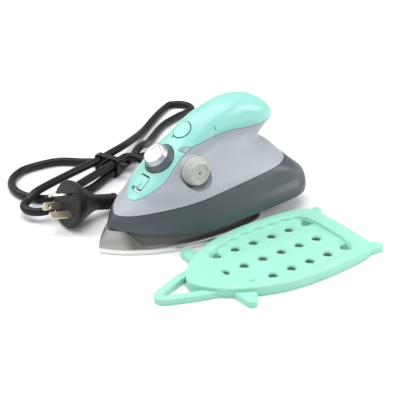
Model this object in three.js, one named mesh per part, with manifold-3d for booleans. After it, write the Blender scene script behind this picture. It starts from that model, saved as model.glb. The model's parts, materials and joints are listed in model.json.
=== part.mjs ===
// A mini craft iron with its mains cord, plug and silicone rest, in millimetres with +Z up.
// The nose of the iron points to -Y, and the origin is the middle of the soleplate's underside.
import * as THREE from "three";
import { mergeVertices } from "three/addons/utils/BufferGeometryUtils.js";
import Module from "manifold-3d";

const wasm = await Module();
wasm.setup();

// Driving dimensions of the iron
const soleLength = 146;
const soleHalfWidth = 44;
const castingTop = 18;
const chamberFloor = 6;
const bodyLength = 179.5;
const bodyHalfWidth = 44.5;
const bodyHeight = 99;
const noseSetback = 10;
const wall = 2.6;
const fit = 0.3;
const seamGap = 0.5;
const overrun = 1;
const weld = 0.0001;

// Driving dimensions of the controls
const dialWidth = 26;
const dialCapWidth = 17;
const dialRise = 8.5;
const dialSink = 2.6;
const spindleWidth = 5;
const spindleLength = 40;
const buttonWidth = 15;
const buttonTravel = 2;
const knobWidth = 24;
const knobFaceWidth = 21;
const knobDepth = 9.5;
const knobBackX = 22;
const flapLength = 11;
const flapWidth = 11;

// Driving dimensions of the cord, the plug and the rest
const cordWidth = 7;
const coilRadius = 36;
const plugFaceWidth = 38.5;
const plugBodyLength = 30;
const restLength = 149;
const restHalfWidth = 45;
const restHeight = 8;

// Places of the controls as shares of the body's height and length
const dialHeightShare = 0.641;
const buttonHeightShare = 0.824;
const flapHeightShare = 0.47;
const knobHeightShare = 0.571;
const knobReachShare = 0.365;

const degree = Math.PI / 180;
const noseY = noseSetback - soleLength / 2;

// Finishes
const finish = (color, roughness, metalness = 0) =>
  new THREE.MeshStandardMaterial({ color, roughness, metalness });
const mintPlastic = finish("#9fe8da", 0.35);
const greyPlastic = finish("#c3c7ce", 0.45);
const darkPlastic = finish("#555c60", 0.4);
const whitePlastic = finish("#f1f1ee", 0.4);
const clearPlastic = finish("#cfcfc8", 0.25);
const lampPlastic = finish("#8fa3a6", 0.2);
const castMetal = finish("#c9c7c0", 0.3, 0.9);
const steel = finish("#b4b6b8", 0.35, 0.9);
const brass = finish("#c9a94f", 0.35, 0.9);
const blackRubber = finish("#2b2b30", 0.7);
const blackPlastic = finish("#26262a", 0.5);
const mintSilicone = finish("#98e0c4", 0.6);

// Solids
function solidOf(geometry) {
  const bare = geometry.index ? geometry.toNonIndexed() : geometry.clone();
  bare.deleteAttribute("normal");
  bare.deleteAttribute("uv");
  const merged = mergeVertices(bare, weld);
  const vertProperties = merged.attributes.position.array;
  const triVerts = new Uint32Array(merged.index.array);
  return new wasm.Manifold(new wasm.Mesh({ numProp: 3, vertProperties, triVerts }));
}

function geometryOf(solid) {
  const { vertProperties, triVerts } = solid.getMesh();
  const geometry = new THREE.BufferGeometry();
  geometry.setAttribute("position", new THREE.BufferAttribute(vertProperties, 3));
  geometry.setIndex(new THREE.BufferAttribute(triVerts, 1));
  geometry.computeVertexNormals();
  return geometry;
}

const group = new THREE.Group();

function piece(name, shape, material, parent = group) {
  const geometry = shape.isBufferGeometry ? shape : geometryOf(shape);
  const mesh = new THREE.Mesh(geometry, material);
  mesh.name = name;
  parent.add(mesh);
  return mesh;
}

// Rings of equal count, listed upwards and counterclockwise from above, become one closed skin.
function loft(rings) {
  const count = rings[0].length;
  const points = rings.flat();
  const faces = [];
  for (let level = 0; level + 1 < rings.length; level += 1) {
    for (let i = 0; i < count; i += 1) {
      const a = level * count + i;
      const b = level * count + ((i + 1) % count);
      faces.push(a, b, b + count, a, b + count, a + count);
    }
  }
  const middleOf = (ring) =>
    ring.reduce((sum, point) => sum.add(point), new THREE.Vector3()).divideScalar(count);
  const top = (rings.length - 1) * count;
  const bottomMiddle = points.push(middleOf(rings[0])) - 1;
  const topMiddle = points.push(middleOf(rings[rings.length - 1])) - 1;
  for (let i = 0; i < count; i += 1) {
    const next = (i + 1) % count;
    faces.push(bottomMiddle, next, i, topMiddle, top + i, top + next);
  }
  const geometry = new THREE.BufferGeometry().setFromPoints(points);
  geometry.setIndex(faces);
  return geometry;
}

// A round section on the Z axis, from [radius, height] pairs listed upwards from the axis.
function turned(profile, sides) {
  const points = profile.map(([radius, height]) => new THREE.Vector2(radius, height));
  return new THREE.LatheGeometry(points, sides).rotateX(Math.PI / 2);
}

function rod(radius, bottom, top, sides = 16) {
  return turned([[0, bottom], [radius, bottom], [radius, top], [0, top]], sides);
}

const routeOf = (points) => new THREE.CatmullRomCurve3(points, false, "catmullrom", 0.5);

function tubeAlong(points, radius, sides, steps) {
  const route = routeOf(points);
  const section = new THREE.Shape();
  for (let i = 0; i < sides; i += 1) {
    const angle = (i / sides) * 2 * Math.PI;
    const corner = [radius * Math.cos(angle), radius * Math.sin(angle)];
    if (i === 0) section.moveTo(...corner);
    else section.lineTo(...corner);
  }
  section.closePath();
  return new THREE.ExtrudeGeometry(section, { extrudePath: route, steps });
}

const at = (x, y, z) => new THREE.Vector3(x, y, z);
const placeOf = ({ x, y, z }) => at(x, y, z);
const box = (x0, x1, y0, y1, z0, z1) =>
  new THREE.BoxGeometry(x1 - x0, y1 - y0, z1 - z0).translate(
    (x0 + x1) / 2, (y0 + y1) / 2, (z0 + z1) / 2);

// A side view outline in Y and Z, carried across the iron between two X values.
const sideView = new THREE.Matrix4().makeBasis(at(0, 1, 0), at(0, 0, 1), at(1, 0, 0));

function across(outline, x0, x1) {
  const shape = new THREE.Shape(outline.map(([y, z]) => new THREE.Vector2(y, z)));
  const geometry = new THREE.ExtrudeGeometry(shape, { depth: x1 - x0, bevelEnabled: false });
  return geometry.applyMatrix4(sideView).translate(x0, 0, 0);
}

// A plan outline in X and Y, carried up between two heights.
function upright(outline, z0, z1) {
  const shape = new THREE.Shape(outline.map(([x, y]) => new THREE.Vector2(x, y)));
  const geometry = new THREE.ExtrudeGeometry(shape, { depth: z1 - z0, bevelEnabled: false });
  return geometry.translate(0, 0, z0);
}

const easeShare = (share) => {
  const clamped = Math.min(Math.max(share, 0), 1);
  return clamped * clamped * (3 - 2 * clamped);
};

// Soleplate outline: a long pointed bow up to the widest place, then a shorter rounded tail
const soleWidestShare = 0.7;
const soleSteps = 14;

function soleWidth(share) {
  if (share < soleWidestShare) {
    const bow = 1 - Math.max(share, 0) / soleWidestShare;
    return soleHalfWidth * (1 - bow ** 2.3) ** (1 / 1.25);
  }
  const tail = (Math.min(share, 1) - soleWidestShare) / (1 - soleWidestShare);
  return soleHalfWidth * (1 - tail ** 3.4) ** (1 / 2.2);
}

// The outline made narrower by an inset, with its tip set back.
function soleRing(height, inset, tipSetback = 0, steps = soleSteps) {
  const length = soleLength - tipSetback - inset;
  const side = [];
  for (let i = 0; i <= steps; i += 1) {
    const share = (1 - Math.cos((Math.PI * i) / steps)) / 2;
    const x = soleWidth(share) * (1 - inset / soleHalfWidth);
    side.push([x, tipSetback - soleLength / 2 + share * length]);
  }
  const rightSide = side.slice(1, -1).reverse().map(([x, y]) => [-x, y]);
  return [...side, ...rightSide].map(([x, y]) => at(x, y, height));
}

const solePlan = (inset, tipSetback, z0, z1) =>
  loft([soleRing(z0, inset, tipSetback), soleRing(z1, inset, tipSetback)]);

// Body: plan outlines piled from the lower edge of the skirt to the top of the handle
// Each row holds the height, the places of nose and tail, the half widths at the front, the
// middle and the rear, the reach and bluntness of the nose, and the same two of the tail.
const bodyLevelShares = [
  [0.081, 0, 0.989, 1, 1, 1, 0.5, 1.3, 0.17, 4],
  [0.192, 0, 1, 0.978, 0.989, 0.978, 0.49, 1.35, 0.17, 4],
  [0.283, 0.037, 1, 0.91, 0.933, 0.921, 0.45, 1.6, 0.17, 4],
  [0.374, 0.111, 0.981, 0.809, 0.861, 0.854, 0.38, 1.9, 0.18, 3.8],
  [0.455, 0.156, 0.933, 0.685, 0.775, 0.764, 0.3, 2.3, 0.25, 3],
  [0.535, 0.204, 0.877, 0.551, 0.629, 0.573, 0.22, 2.6, 0.32, 2.5],
  [0.616, 0.254, 0.833, 0.479, 0.461, 0.393, 0.18, 2.6, 0.34, 2.2],
  [0.697, 0.308, 0.812, 0.449, 0.315, 0.292, 0.18, 2.6, 0.32, 2.2],
  [0.758, 0.351, 0.861, 0.418, 0.319, 0.337, 0.22, 2.5, 0.3, 2.2],
  [0.828, 0.399, 0.881, 0.389, 0.373, 0.396, 0.28, 2.3, 0.34, 2.2],
  [0.899, 0.454, 0.86, 0.319, 0.355, 0.36, 0.34, 2.1, 0.38, 2.1],
  [0.955, 0.518, 0.816, 0.22, 0.276, 0.258, 0.4, 2, 0.45, 2],
  [0.99, 0.585, 0.752, 0.112, 0.144, 0.126, 0.45, 2, 0.5, 2],
  [1, 0.652, 0.674, 0.013, 0.013, 0.013, 0.5, 2, 0.5, 2],
];

function bodyLevel(step) {
  const last = bodyLevelShares.length - 1;
  const index = Math.min(Math.floor(step), last - 1);
  const t = step - index;
  const row = (i) => bodyLevelShares[Math.min(Math.max(i, 0), last)];
  const [before, from, to, after] = [row(index - 1), row(index), row(index + 1), row(index + 2)];
  const values = from.map((value, i) => {
    const leave = (to[i] - before[i]) / 2;
    const arrive = (after[i] - value) / 2;
    const bend = 2 * value - 2 * to[i] + leave + arrive;
    const turn = 3 * (to[i] - value) - 2 * leave - arrive;
    return value + t * (leave + t * (turn + t * bend));
  });
  const [height, nose, tail, front, middle, rear, reach, blunt, tailReach, tailBlunt] = values;
  return {
    z: height * bodyHeight,
    nose: noseY + nose * bodyLength,
    tail: noseY + tail * bodyLength,
    widths: [front, middle, rear].map((share) => share * bodyHalfWidth),
    reach, blunt, tailReach, tailBlunt,
  };
}

const levelHalvings = 40;

function bodyLevelAt(z) {
  let [low, high] = [0, bodyLevelShares.length - 1];
  for (let i = 0; i < levelHalvings; i += 1) {
    const middle = (low + high) / 2;
    if (bodyLevel(middle).z < z) low = middle;
    else high = middle;
  }
  return bodyLevel((low + high) / 2);
}

function levelHalfWidth(level, share) {
  const [front, middle, rear] = level.widths;
  const base = share < 0.5
    ? front + (middle - front) * easeShare(share * 2)
    : middle + (rear - middle) * easeShare(share * 2 - 1);
  const fromNose = 1 - Math.min(share / level.reach, 1);
  const fromTail = 1 - Math.min((1 - share) / level.tailReach, 1);
  const noseShare = (1 - fromNose ** 2.3) ** (1 / level.blunt);
  const tailShare = (1 - fromTail ** 2.4) ** (1 / level.tailBlunt);
  return base * noseShare * tailShare;
}

function bodyRing(level, inset, steps, z = level.z) {
  const nose = level.nose + inset;
  const tail = Math.max(level.tail - inset, nose + weld);
  const side = [];
  for (let i = 0; i <= steps; i += 1) {
    const share = (1 - Math.cos((Math.PI * i) / steps)) / 2;
    const width = levelHalfWidth(level, share);
    const widest = Math.max(...level.widths);
    side.push([width * Math.max(1 - inset / widest, 0), nose + share * (tail - nose)]);
  }
  const rightSide = side.slice(1, -1).reverse().map(([x, y]) => [-x, y]);
  return [...side, ...rightSide].map(([x, y]) => at(x, y, z));
}

// The body's outer form, or one drawn in by an inset and let down below the skirt by a drop.
function bodyForm(inset, drop, steps, perRow) {
  const rings = [];
  const count = (bodyLevelShares.length - 1) * perRow;
  for (let i = 0; i <= count; i += 1) {
    const level = bodyLevel(i / perRow);
    if (Math.max(...level.widths) > inset + overrun / 2) rings.push(bodyRing(level, inset, steps));
  }
  if (drop > 0) rings.unshift(bodyRing(bodyLevel(0), inset, steps, bodyLevel(0).z - drop));
  return solidOf(loft(rings));
}

const bodySteps = 13;
const roomSteps = 12;

// The room inside a wall of the given thickness: the drawn-in form let down and lifted by it.
function bodyRoom(thickness) {
  const form = bodyForm(thickness, 4 * thickness, roomSteps, 1);
  return form.translate(0, 0, -thickness).intersect(form.translate(0, 0, thickness));
}

const bodyOuter = bodyForm(0, 0, bodySteps, 2);
const bodyWalls = bodyOuter.subtract(bodyRoom(wall));

// Seams in side view, each a smooth line through places shared out over the body
const seamSteps = 24;
const seamPlace = ([y, z]) => new THREE.Vector2(noseY + y * bodyLength, z * bodyHeight);
const lowerEdgeShares = [
  [-0.1, 0.202], [0, 0.192], [0.156, 0.162], [0.34, 0.111], [0.524, 0.087], [0.724, 0.085],
  [1.058, 0.111],
];
const skirtSeamShares = [
  [-0.1, 0.253], [0.025, 0.283], [0.189, 0.343], [0.39, 0.384], [0.546, 0.414], [0.713, 0.449],
  [0.836, 0.478], [1.086, 0.515],
];
const coverSeamShares = [
  [-0.1, 0.333], [0.022, 0.343], [0.1, 0.37], [0.134, 0.394], [0.173, 0.455], [0.228, 0.525],
  [0.284, 0.616], [0.329, 0.685], [0.373, 0.747], [0.412, 0.774], [0.457, 0.784], [0.524, 0.792],
  [0.607, 0.784], [0.691, 0.766], [0.78, 0.751], [0.919, 0.758],
];

function sideOf(shares, shift, upwards) {
  const line = new THREE.SplineCurve(shares.map(seamPlace)).getPoints(seamSteps);
  const edge = line.map(({ x, y }) => [x, y + shift]);
  const end = upwards ? bodyHeight + overrun : -overrun;
  const closing = [[line[line.length - 1].x, end], [line[0].x, end]];
  const outline = upwards ? [...edge, ...closing] : [...edge, ...closing].reverse();
  return solidOf(across(outline, -bodyHalfWidth - overrun, bodyHalfWidth + overrun));
}


// Helpers for the controls
const moveSolid = (solid, matrix) => solid.transform([...matrix.elements]);
const intoFrame = (solid, matrix) => moveSolid(solid, matrix.clone().invert());
const placed = (geometry, matrix) => solidOf(geometry.applyMatrix4(matrix));

// The body's front ridge at a share of its height: X across, Y up the slope, Z out of the surface.
const ridgeReachShare = 0.015;

function ridgeFrame(heightShare) {
  const z = heightShare * bodyHeight;
  const reach = ridgeReachShare * bodyHeight;
  const run = bodyLevelAt(z + reach).nose - bodyLevelAt(z - reach).nose;
  const slope = Math.atan2(2 * reach, run);
  return new THREE.Matrix4().makeRotationX(slope).setPosition(0, bodyLevelAt(z).nose, z);
}

function groupAt(matrix) {
  const holder = new THREE.Group();
  holder.applyMatrix4(matrix);
  group.add(holder);
  return holder;
}

// A flat band that follows a plan route, standing between two heights.
function lane(points, halfWidth, z0, z1, steps) {
  const route = routeOf(points);
  const sideLine = (sign) => {
    const line = [];
    for (let i = 0; i <= steps; i += 1) {
      const place = route.getPointAt(i / steps);
      const tangent = route.getTangentAt(i / steps);
      line.push([place.x - sign * halfWidth * tangent.y, place.y + sign * halfWidth * tangent.x]);
    }
    return line;
  };
  return upright([...sideLine(-1), ...sideLine(1).reverse()], z0, z1);
}

const ringPlan = (points) => points.map((point) => [point.x, point.y]);

// Body parts: the moulded shell in three pieces, split along the seams
const coverSide = sideOf(coverSeamShares, seamGap / 2, true);
const shellSide = sideOf(coverSeamShares, -seamGap / 2, false);
let topCover = bodyWalls.intersect(coverSide);
let shell = bodyWalls.intersect(shellSide).intersect(sideOf(skirtSeamShares, seamGap / 2, true));
let skirt = bodyWalls.intersect(sideOf(skirtSeamShares, -seamGap / 2, false))
  .intersect(sideOf(lowerEdgeShares, 0, true));

// Thermostat dial: a flared collar with a silver ring and a white cap, in a cup in the top cover
const dialPlace = ridgeFrame(dialHeightShare);
const dialGap = 0.5;
const cupRadius = dialWidth / 2 + dialGap;
const cupDepth = dialSink + dialGap;
const cupOutside = placed(rod(cupRadius + wall, -cupDepth - wall, dialRise, 24), dialPlace);
const cupClearance = placed(
  rod(cupRadius + wall + seamGap, -cupDepth - wall - fit, dialRise, 20), dialPlace);
const spindleHole = spindleWidth / 2 + fit;
const cupInside = placed(turned([
  [0, -cupDepth - wall - overrun], [spindleHole, -cupDepth - wall - overrun],
  [spindleHole, -cupDepth], [cupRadius, -cupDepth], [cupRadius, dialRise], [0, dialRise],
], 24), dialPlace);
topCover = topCover.add(cupOutside.intersect(bodyOuter)).subtract(cupInside);

const dialRingTop = dialRise - fit;
const dialRingBottom = dialRise / 2;
const dialRingWall = 1.3;
const dialRingWidth = dialCapWidth + 2 * dialRingWall;
const dialCapRadius = dialCapWidth / 2;
const dial = groupAt(dialPlace);
piece("dial_collar", solidOf(turned([
  [0, -dialSink / 2], [spindleHole, -dialSink / 2], [spindleHole, -dialSink],
  [dialWidth / 2, -dialSink], [dialWidth / 2, 0], [dialWidth / 2 - dialSink / 2, dialSink / 2],
  [dialRingWidth / 2 + fit, dialRingBottom - fit], [0, dialRingBottom - fit],
], 24)), darkPlastic, dial);
piece("dial_ring", solidOf(turned([
  [dialCapRadius + fit, dialRingBottom], [dialRingWidth / 2 + fit, dialRingBottom],
  [dialRingWidth / 2, dialRingTop - fit], [dialRingWidth / 2 - fit, dialRingTop],
  [dialCapRadius + fit, dialRingTop], [dialCapRadius + fit, dialRingBottom],
], 24)), steel, dial);
piece("dial_cap", solidOf(turned([
  [0, dialRingBottom], [dialCapRadius, dialRingBottom], [dialCapRadius, dialRise - fit],
  [dialCapRadius - fit, dialRise], [0, dialRise],
], 24)), whitePlastic, dial);
piece("dial_spindle", rod(spindleWidth / 2, -spindleLength, -dialSink / 2 - fit, 12), steel, dial);

// Steam button: a disc cut from the cover's own surface, a return spring and a pump below it
const buttonPlace = ridgeFrame(buttonHeightShare);
const buttonGap = 0.5;
const buttonDepth = 3;
const buttonProud = 0.6;
const pumpTop = buttonDepth + buttonTravel + overrun;
const pumpLength = 14;
const pumpRecess = 6;
const sleeveDepth = 2 * pumpTop;
const sleeveRadius = buttonWidth / 2 + buttonGap;
const sleeve = placed(rod(sleeveRadius + wall / 2, -sleeveDepth, pumpTop, 20), buttonPlace);
const sleeveHole = placed(
  rod(sleeveRadius, -sleeveDepth - overrun, pumpTop, 20), buttonPlace);
const sleeveClearance = placed(
  rod(sleeveRadius + wall / 2 + seamGap, -sleeveDepth - fit, pumpTop, 16), buttonPlace);
topCover = topCover.add(sleeve.intersect(bodyOuter)).subtract(sleeveHole);

const steamButton = groupAt(buttonPlace);
const stemRadius = 2;
const stemReach = pumpTop + pumpRecess - buttonTravel - overrun;
const buttonTop = intoFrame(bodyOuter, buttonPlace).translate(0, 0, buttonProud)
  .intersect(solidOf(rod(buttonWidth / 2, -buttonDepth, pumpTop, 20)));
piece("steam_button", buttonTop.add(solidOf(rod(stemRadius, -stemReach, -buttonDepth + fit, 10))),
  mintPlastic, steamButton);
const springTurns = 4;
const springWire = 0.5;
const springGap = 0.7;
const springRadius = stemRadius + springWire + springGap;
const springSteps = 7;
const springTop = -buttonDepth - fit - springWire;
const springDrop = (stemReach - buttonDepth - springWire - fit) / springTurns;
const springPoints = [];
for (let i = 0; i <= springTurns * springSteps; i += 1) {
  const turn = i / springSteps;
  const angle = turn * 2 * Math.PI;
  springPoints.push(at(
    springRadius * Math.cos(angle), springRadius * Math.sin(angle), springTop - turn * springDrop));
}
piece("button_spring",
  tubeAlong(springPoints, springWire, 5, springTurns * springSteps), steel, steamButton);
const pumpRadius = sleeveRadius - fit;
const recessRadius = springRadius + springWire + 2 * fit;
piece("steam_pump", solidOf(turned([
  [0, -pumpTop - pumpLength], [pumpRadius, -pumpTop - pumpLength], [pumpRadius, -pumpTop],
  [recessRadius, -pumpTop], [recessRadius, -pumpTop - pumpRecess], [0, -pumpTop - pumpRecess],
], 20)), whitePlastic, steamButton);

// Filler flap: a hinged piece of the cover over the filler neck, with the pin at its upper end
const flapPlace = ridgeFrame(flapHeightShare);
const flapGap = 0.4;
const flapThick = 2;
const flapProud = 0.5;
const barrelRadius = 1.4;
const pinRadius = 0.6;
const pinOverhang = 1.6;
const pinY = flapLength / 2 + barrelRadius;
const pinZ = -barrelRadius;
const flapBox = (gap, z0, z1) =>
  box(-flapWidth / 2 - gap, flapWidth / 2 + gap, -flapLength / 2 - gap,
    pinY + barrelRadius + gap, z0, z1);
const alongX = new THREE.Matrix4().makeRotationY(Math.PI / 2);
const pinLine = alongX.clone().setPosition(0, pinY, pinZ);
const flapOpening = placed(flapBox(flapGap, -2 * flapThick - wall, flapThick * 2), flapPlace);
const pinHole = placed(
  rod(pinRadius + fit, -flapWidth / 2 - pinOverhang - fit, flapWidth / 2 + pinOverhang + fit, 8)
    .applyMatrix4(pinLine), flapPlace);
topCover = topCover.subtract(flapOpening).subtract(pinHole);

const flap = groupAt(flapPlace);
const flapLeaf = intoFrame(bodyOuter, flapPlace).translate(0, 0, flapProud)
  .intersect(solidOf(
    box(-flapWidth / 2, flapWidth / 2, -flapLength / 2, pinY, -flapThick, flapThick)));
const flapBarrel = solidOf(
  rod(barrelRadius, -flapWidth / 2, flapWidth / 2, 10).applyMatrix4(pinLine));
const flapBore = solidOf(
  rod(pinRadius + fit, -flapWidth, flapWidth, 8).applyMatrix4(pinLine));
piece("filler_flap", flapLeaf.add(flapBarrel).subtract(flapBore), mintPlastic, flap);
piece("flap_pin", rod(pinRadius, -flapWidth / 2 - pinOverhang, flapWidth / 2 + pinOverhang, 8)
  .applyMatrix4(pinLine), steel, flap);
const neckDepth = 9;
const neckBore = 3.2;
const neckSide = flapWidth / 2 + flapGap - fit;
const neckTopY = flapLength / 2 - fit;
const neckBox = (gap) => box(-neckSide - gap, neckSide + gap, -flapLength / 2 - gap, neckTopY + gap,
  -neckDepth - gap, -flapThick - fit + gap);
shell = shell.subtract(placed(neckBox(fit), flapPlace));
const neckFunnel = turned([
  [0, -neckDepth - overrun], [neckBore, -neckDepth - overrun], [neckBore, -neckDepth / 2],
  [neckBore * 1.4, -flapThick - fit], [neckBore * 1.4, 0], [0, 0],
], 14);
const neckForm = solidOf(neckBox(0))
  .intersect(intoFrame(bodyOuter, flapPlace).translate(0, 0, -fit));
piece("filler_neck", neckForm.subtract(solidOf(neckFunnel)), whitePlastic, flap);

// Steam selector: a ribbed knob on the right of the shell, in a round recess over a boss
const knobY = noseY + knobReachShare * bodyLength;
const knobZ = knobHeightShare * bodyHeight;
const knobPlace = alongX.clone().setPosition(knobBackX, knobY, knobZ);
const valveRadius = 5.2;
const valveX = 10.5;
const valveLength = 13;
const valveBottom = knobZ - valveLength / 2;
const valveTop = knobZ + valveLength / 2;
const knobGap = 1.2;
const shaftRadius = 2;
const bossRadius = knobWidth / 2 + knobGap + wall;
const pocketFloor = -fit;
const bossBack = valveX + valveRadius + fit - knobBackX;
const farOut = bodyHalfWidth;
const lowBoss = placed(rod(bossRadius, bossBack, farOut, 28), knobPlace)
  .intersect(bodyOuter).intersect(shellSide);
const proudBoss = placed(rod(knobWidth / 2, bossBack, pocketFloor, 20), knobPlace)
  .intersect(shellSide);
const pocket = placed(rod(knobWidth / 2 + knobGap, pocketFloor, farOut, 28), knobPlace);
const shaftHole = placed(rod(shaftRadius + fit, -farOut, farOut, 12), knobPlace)
  .intersect(solidOf(box(0, farOut, -soleLength, soleLength, 0, bodyHeight)));
shell = shell.add(lowBoss).add(proudBoss).subtract(pocket).subtract(shaftHole)
  .subtract(cupClearance).subtract(sleeveClearance);

const knob = groupAt(knobPlace);
const knobRibs = 16;
const ribRadius = 0.8;
const knobTaper = (knobWidth - knobFaceWidth) / 2;
const knobEase = 1.2;
const dishRim = 2.6;
const dishRadius = knobFaceWidth / 2 - dishRim;
let knobForm = solidOf(turned([
  [0, 0], [knobWidth / 2, 0], [knobWidth / 2 - knobTaper * 0.7, knobDepth - knobEase],
  [knobFaceWidth / 2 - knobEase, knobDepth], [dishRadius, knobDepth],
  [dishRadius - knobEase, knobDepth - knobEase / 2], [0, knobDepth - knobEase],
], 32));
for (let i = 0; i < knobRibs; i += 1) {
  const angle = (i / knobRibs) * 2 * Math.PI;
  const groove = rod(ribRadius, knobEase, knobDepth * 2, 5).rotateY(-knobTaper / knobDepth)
    .translate(knobWidth / 2 + ribRadius / 2, 0, 0).rotateZ(angle);
  knobForm = knobForm.subtract(solidOf(groove));
}
const knobBore = solidOf(rod(shaftRadius + fit, -overrun, knobDepth / 2, 12));
piece("selector_knob", knobForm.subtract(knobBore), clearPlastic, knob);
piece("selector_shaft", rod(shaftRadius, bossBack, knobDepth / 2 - fit, 12), steel, knob);

// Pilot lens, set in the seam between the cover and the shell
const lensReachShare = 0.354;
const lensHeightShare = 0.722;
const lensLength = 12;
const lensHeight = 4.4;
const lensTilt = 38 * degree;
const lensInnerX = 10.5;
const lensPlace = new THREE.Matrix4().makeRotationX(lensTilt)
  .setPosition(0, noseY + lensReachShare * bodyLength, lensHeightShare * bodyHeight);
const lensForm = (gap, x0) => placed(
  new THREE.CylinderGeometry(1, 1, 1, 20).rotateZ(Math.PI / 2).translate(0.5, 0, 0)
    .scale(farOut - x0, lensLength / 2 + gap, lensHeight / 2 + gap).translate(x0, 0, 0), lensPlace);
const lensCut = lensForm(fit, lensInnerX - fit);
topCover = topCover.subtract(lensCut);
shell = shell.subtract(lensCut);
piece("pilot_lens", bodyWalls.intersect(lensForm(0, lensInnerX)).subtract(cupClearance), lampPlastic);

piece("top_cover", topCover, mintPlastic);
piece("body_shell", shell, greyPlastic);

// Soleplate casting: levels as shares of its height, its half width and its length, upwards
const soleLevelShares = [
  [0, 0.023, 0.0055], [0.056, 0, 0], [0.233, 0.007, 0.0034], [0.3, 0.036, 0.005],
  [0.41, 0.136, 0.009], [0.61, 0.182, 0.0205], [0.83, 0.218, 0.045], [1, 0.245, 0.075],
];
let soleplate = solidOf(loft(soleLevelShares.map(([height, inset, setback]) =>
  soleRing(height * castingTop, inset * soleHalfWidth, setback * soleLength))));

// The raised boss that fills the cove at the nose, in front of the skirt
const noseBoss = { inset: 3.4, setback: 2.4, rear: -45, bottom: 4, top: 12 };
const noseRoom = box(-soleHalfWidth, soleHalfWidth, -soleLength, noseBoss.rear, 0, bodyHeight);
soleplate = soleplate.add(
  solidOf(solePlan(noseBoss.inset, noseBoss.setback, noseBoss.bottom, noseBoss.top))
    .intersect(solidOf(noseRoom)));

// The steam chamber under its cover, with the row of steam holes on each side
const chamberInset = 22.5;
const chamberSetback = 38;
const coverInset = 20.2;
const coverSetback = 36;
const coverThick = 2;
const steamHoleRadius = 1.5;
const steamHoleShares = [0.22, 0.34, 0.46, 0.58, 0.7, 0.82];
const steamHoleInset = 26.5;
const soleBack = -soleLength / 2;
soleplate = soleplate.subtract(
  solidOf(solePlan(chamberInset, chamberSetback, chamberFloor, castingTop + overrun)));
for (const share of steamHoleShares) {
  const x = soleWidth(share) * (1 - steamHoleInset / soleHalfWidth);
  const y = soleBack + chamberSetback + share * (soleLength - chamberSetback - chamberInset);
  for (const side of [-1, 1]) {
    const hole = rod(steamHoleRadius, -overrun, chamberFloor + overrun, 8).translate(side * x, y, 0);
    soleplate = soleplate.subtract(solidOf(hole));
  }
}

// Heating element: a U in a groove of the casting, with both ends turned up at the rear
const elementRadius = 3.3;
const elementInset = 16;
const elementZ = castingTop - elementRadius - fit;
const elementEndX = 22.5;
const elementEndInset = 20;
const elementEndY = soleLength / 2 - elementEndInset;
const elementEndZ = 31;
const elementTipShare = 0.12;
const grooveGap = 0.8;
const elementSideShares = [0.7, 0.55, 0.4, 0.28, 0.19];
const elementSide = elementSideShares.map((share) =>
  [soleWidth(share) - elementInset, soleBack + share * soleLength]);
const elementTurn = [elementEndX + elementRadius, elementEndY - 3 * elementRadius];
const elementHalf = [[elementEndX, elementEndY], elementTurn, ...elementSide];
const mirrored = (points) => points.map(([x, y]) => [-x, y]).reverse();
const elementTip = [0, soleBack + elementTipShare * soleLength];
const elementPlan = [...elementHalf, elementTip, ...mirrored(elementHalf)];
const grooveEnds = (sign) => [sign * elementEndX, elementEndY + elementRadius];
const groovePlan = [grooveEnds(1), ...elementPlan.slice(1, -1), grooveEnds(-1)];
soleplate = soleplate.subtract(solidOf(lane(
  groovePlan.map(([x, y]) => at(x, y, 0)), elementRadius + grooveGap,
  elementZ - elementRadius - grooveGap, castingTop + overrun, 30)));
const elementRoute = [
  at(elementEndX, elementEndY, elementEndZ), at(elementEndX, elementEndY, castingTop + elementRadius),
  ...elementPlan.slice(1, -1).map(([x, y]) => at(x, y, elementZ)),
  at(-elementEndX, elementEndY, castingTop + elementRadius), at(-elementEndX, elementEndY, elementEndZ),
];
piece("heating_element", tubeAlong(elementRoute, elementRadius, 6, 32), steel);

// Base frame: the heat shield on three posts of the casting, which carries skirt and shell
const frameBottom = 24;
const frameThick = 2.4;
const frameTop = frameBottom + frameThick;
const postRadius = 3.5;
const screwRadius = 1.8;
const screwHeadRadius = 3.6;
const screwHeadHeight = 2;
const screwDepth = 9;
const postShares = [[0, -0.288], [-0.227, 0.384], [0.227, 0.384]];
const postPlaces = postShares.map(([x, y]) => [x * soleHalfWidth, y * soleLength]);
for (const [x, y] of postPlaces) {
  const post = rod(postRadius, castingTop - overrun, frameBottom - fit, 10).translate(x, y, 0);
  const bore = rod(screwRadius + fit, frameTop - screwDepth - fit, frameBottom, 8)
    .translate(x, y, 0);
  soleplate = soleplate.add(solidOf(post)).subtract(solidOf(bore));
}
piece("soleplate", soleplate, castMetal);

const framePlan = ringPlan(bodyRing(bodyLevelAt(frameTop + wall), wall + 4 * fit, bodySteps));
const frameOpening = { halfWidth: 18, front: -26, rear: 46 };
let baseFrame = solidOf(upright(framePlan, frameBottom, frameTop)).subtract(solidOf(box(
  -frameOpening.halfWidth, frameOpening.halfWidth, frameOpening.front, frameOpening.rear,
  frameBottom - overrun, frameTop + overrun)));
const frameHole = (x, y, radius) =>
  solidOf(rod(radius, frameBottom - overrun, frameTop + overrun, 14).translate(x, y, 0));
for (const side of [-1, 1]) {
  baseFrame = baseFrame.subtract(frameHole(side * elementEndX, elementEndY, elementRadius + wall / 2));
}
postPlaces.forEach(([x, y], index) => {
  baseFrame = baseFrame.subtract(frameHole(x, y, screwRadius + fit));
  piece("frame_screw_" + (index + 1), solidOf(turned([
    [0, frameTop - screwDepth], [screwRadius, frameTop - screwDepth], [screwRadius, frameTop + fit],
    [screwHeadRadius, frameTop + fit], [screwHeadRadius - fit, frameTop + screwHeadHeight],
    [0, frameTop + screwHeadHeight],
  ], 12).translate(x, y, 0)), steel);
});
piece("base_frame", baseFrame, steel);

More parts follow.
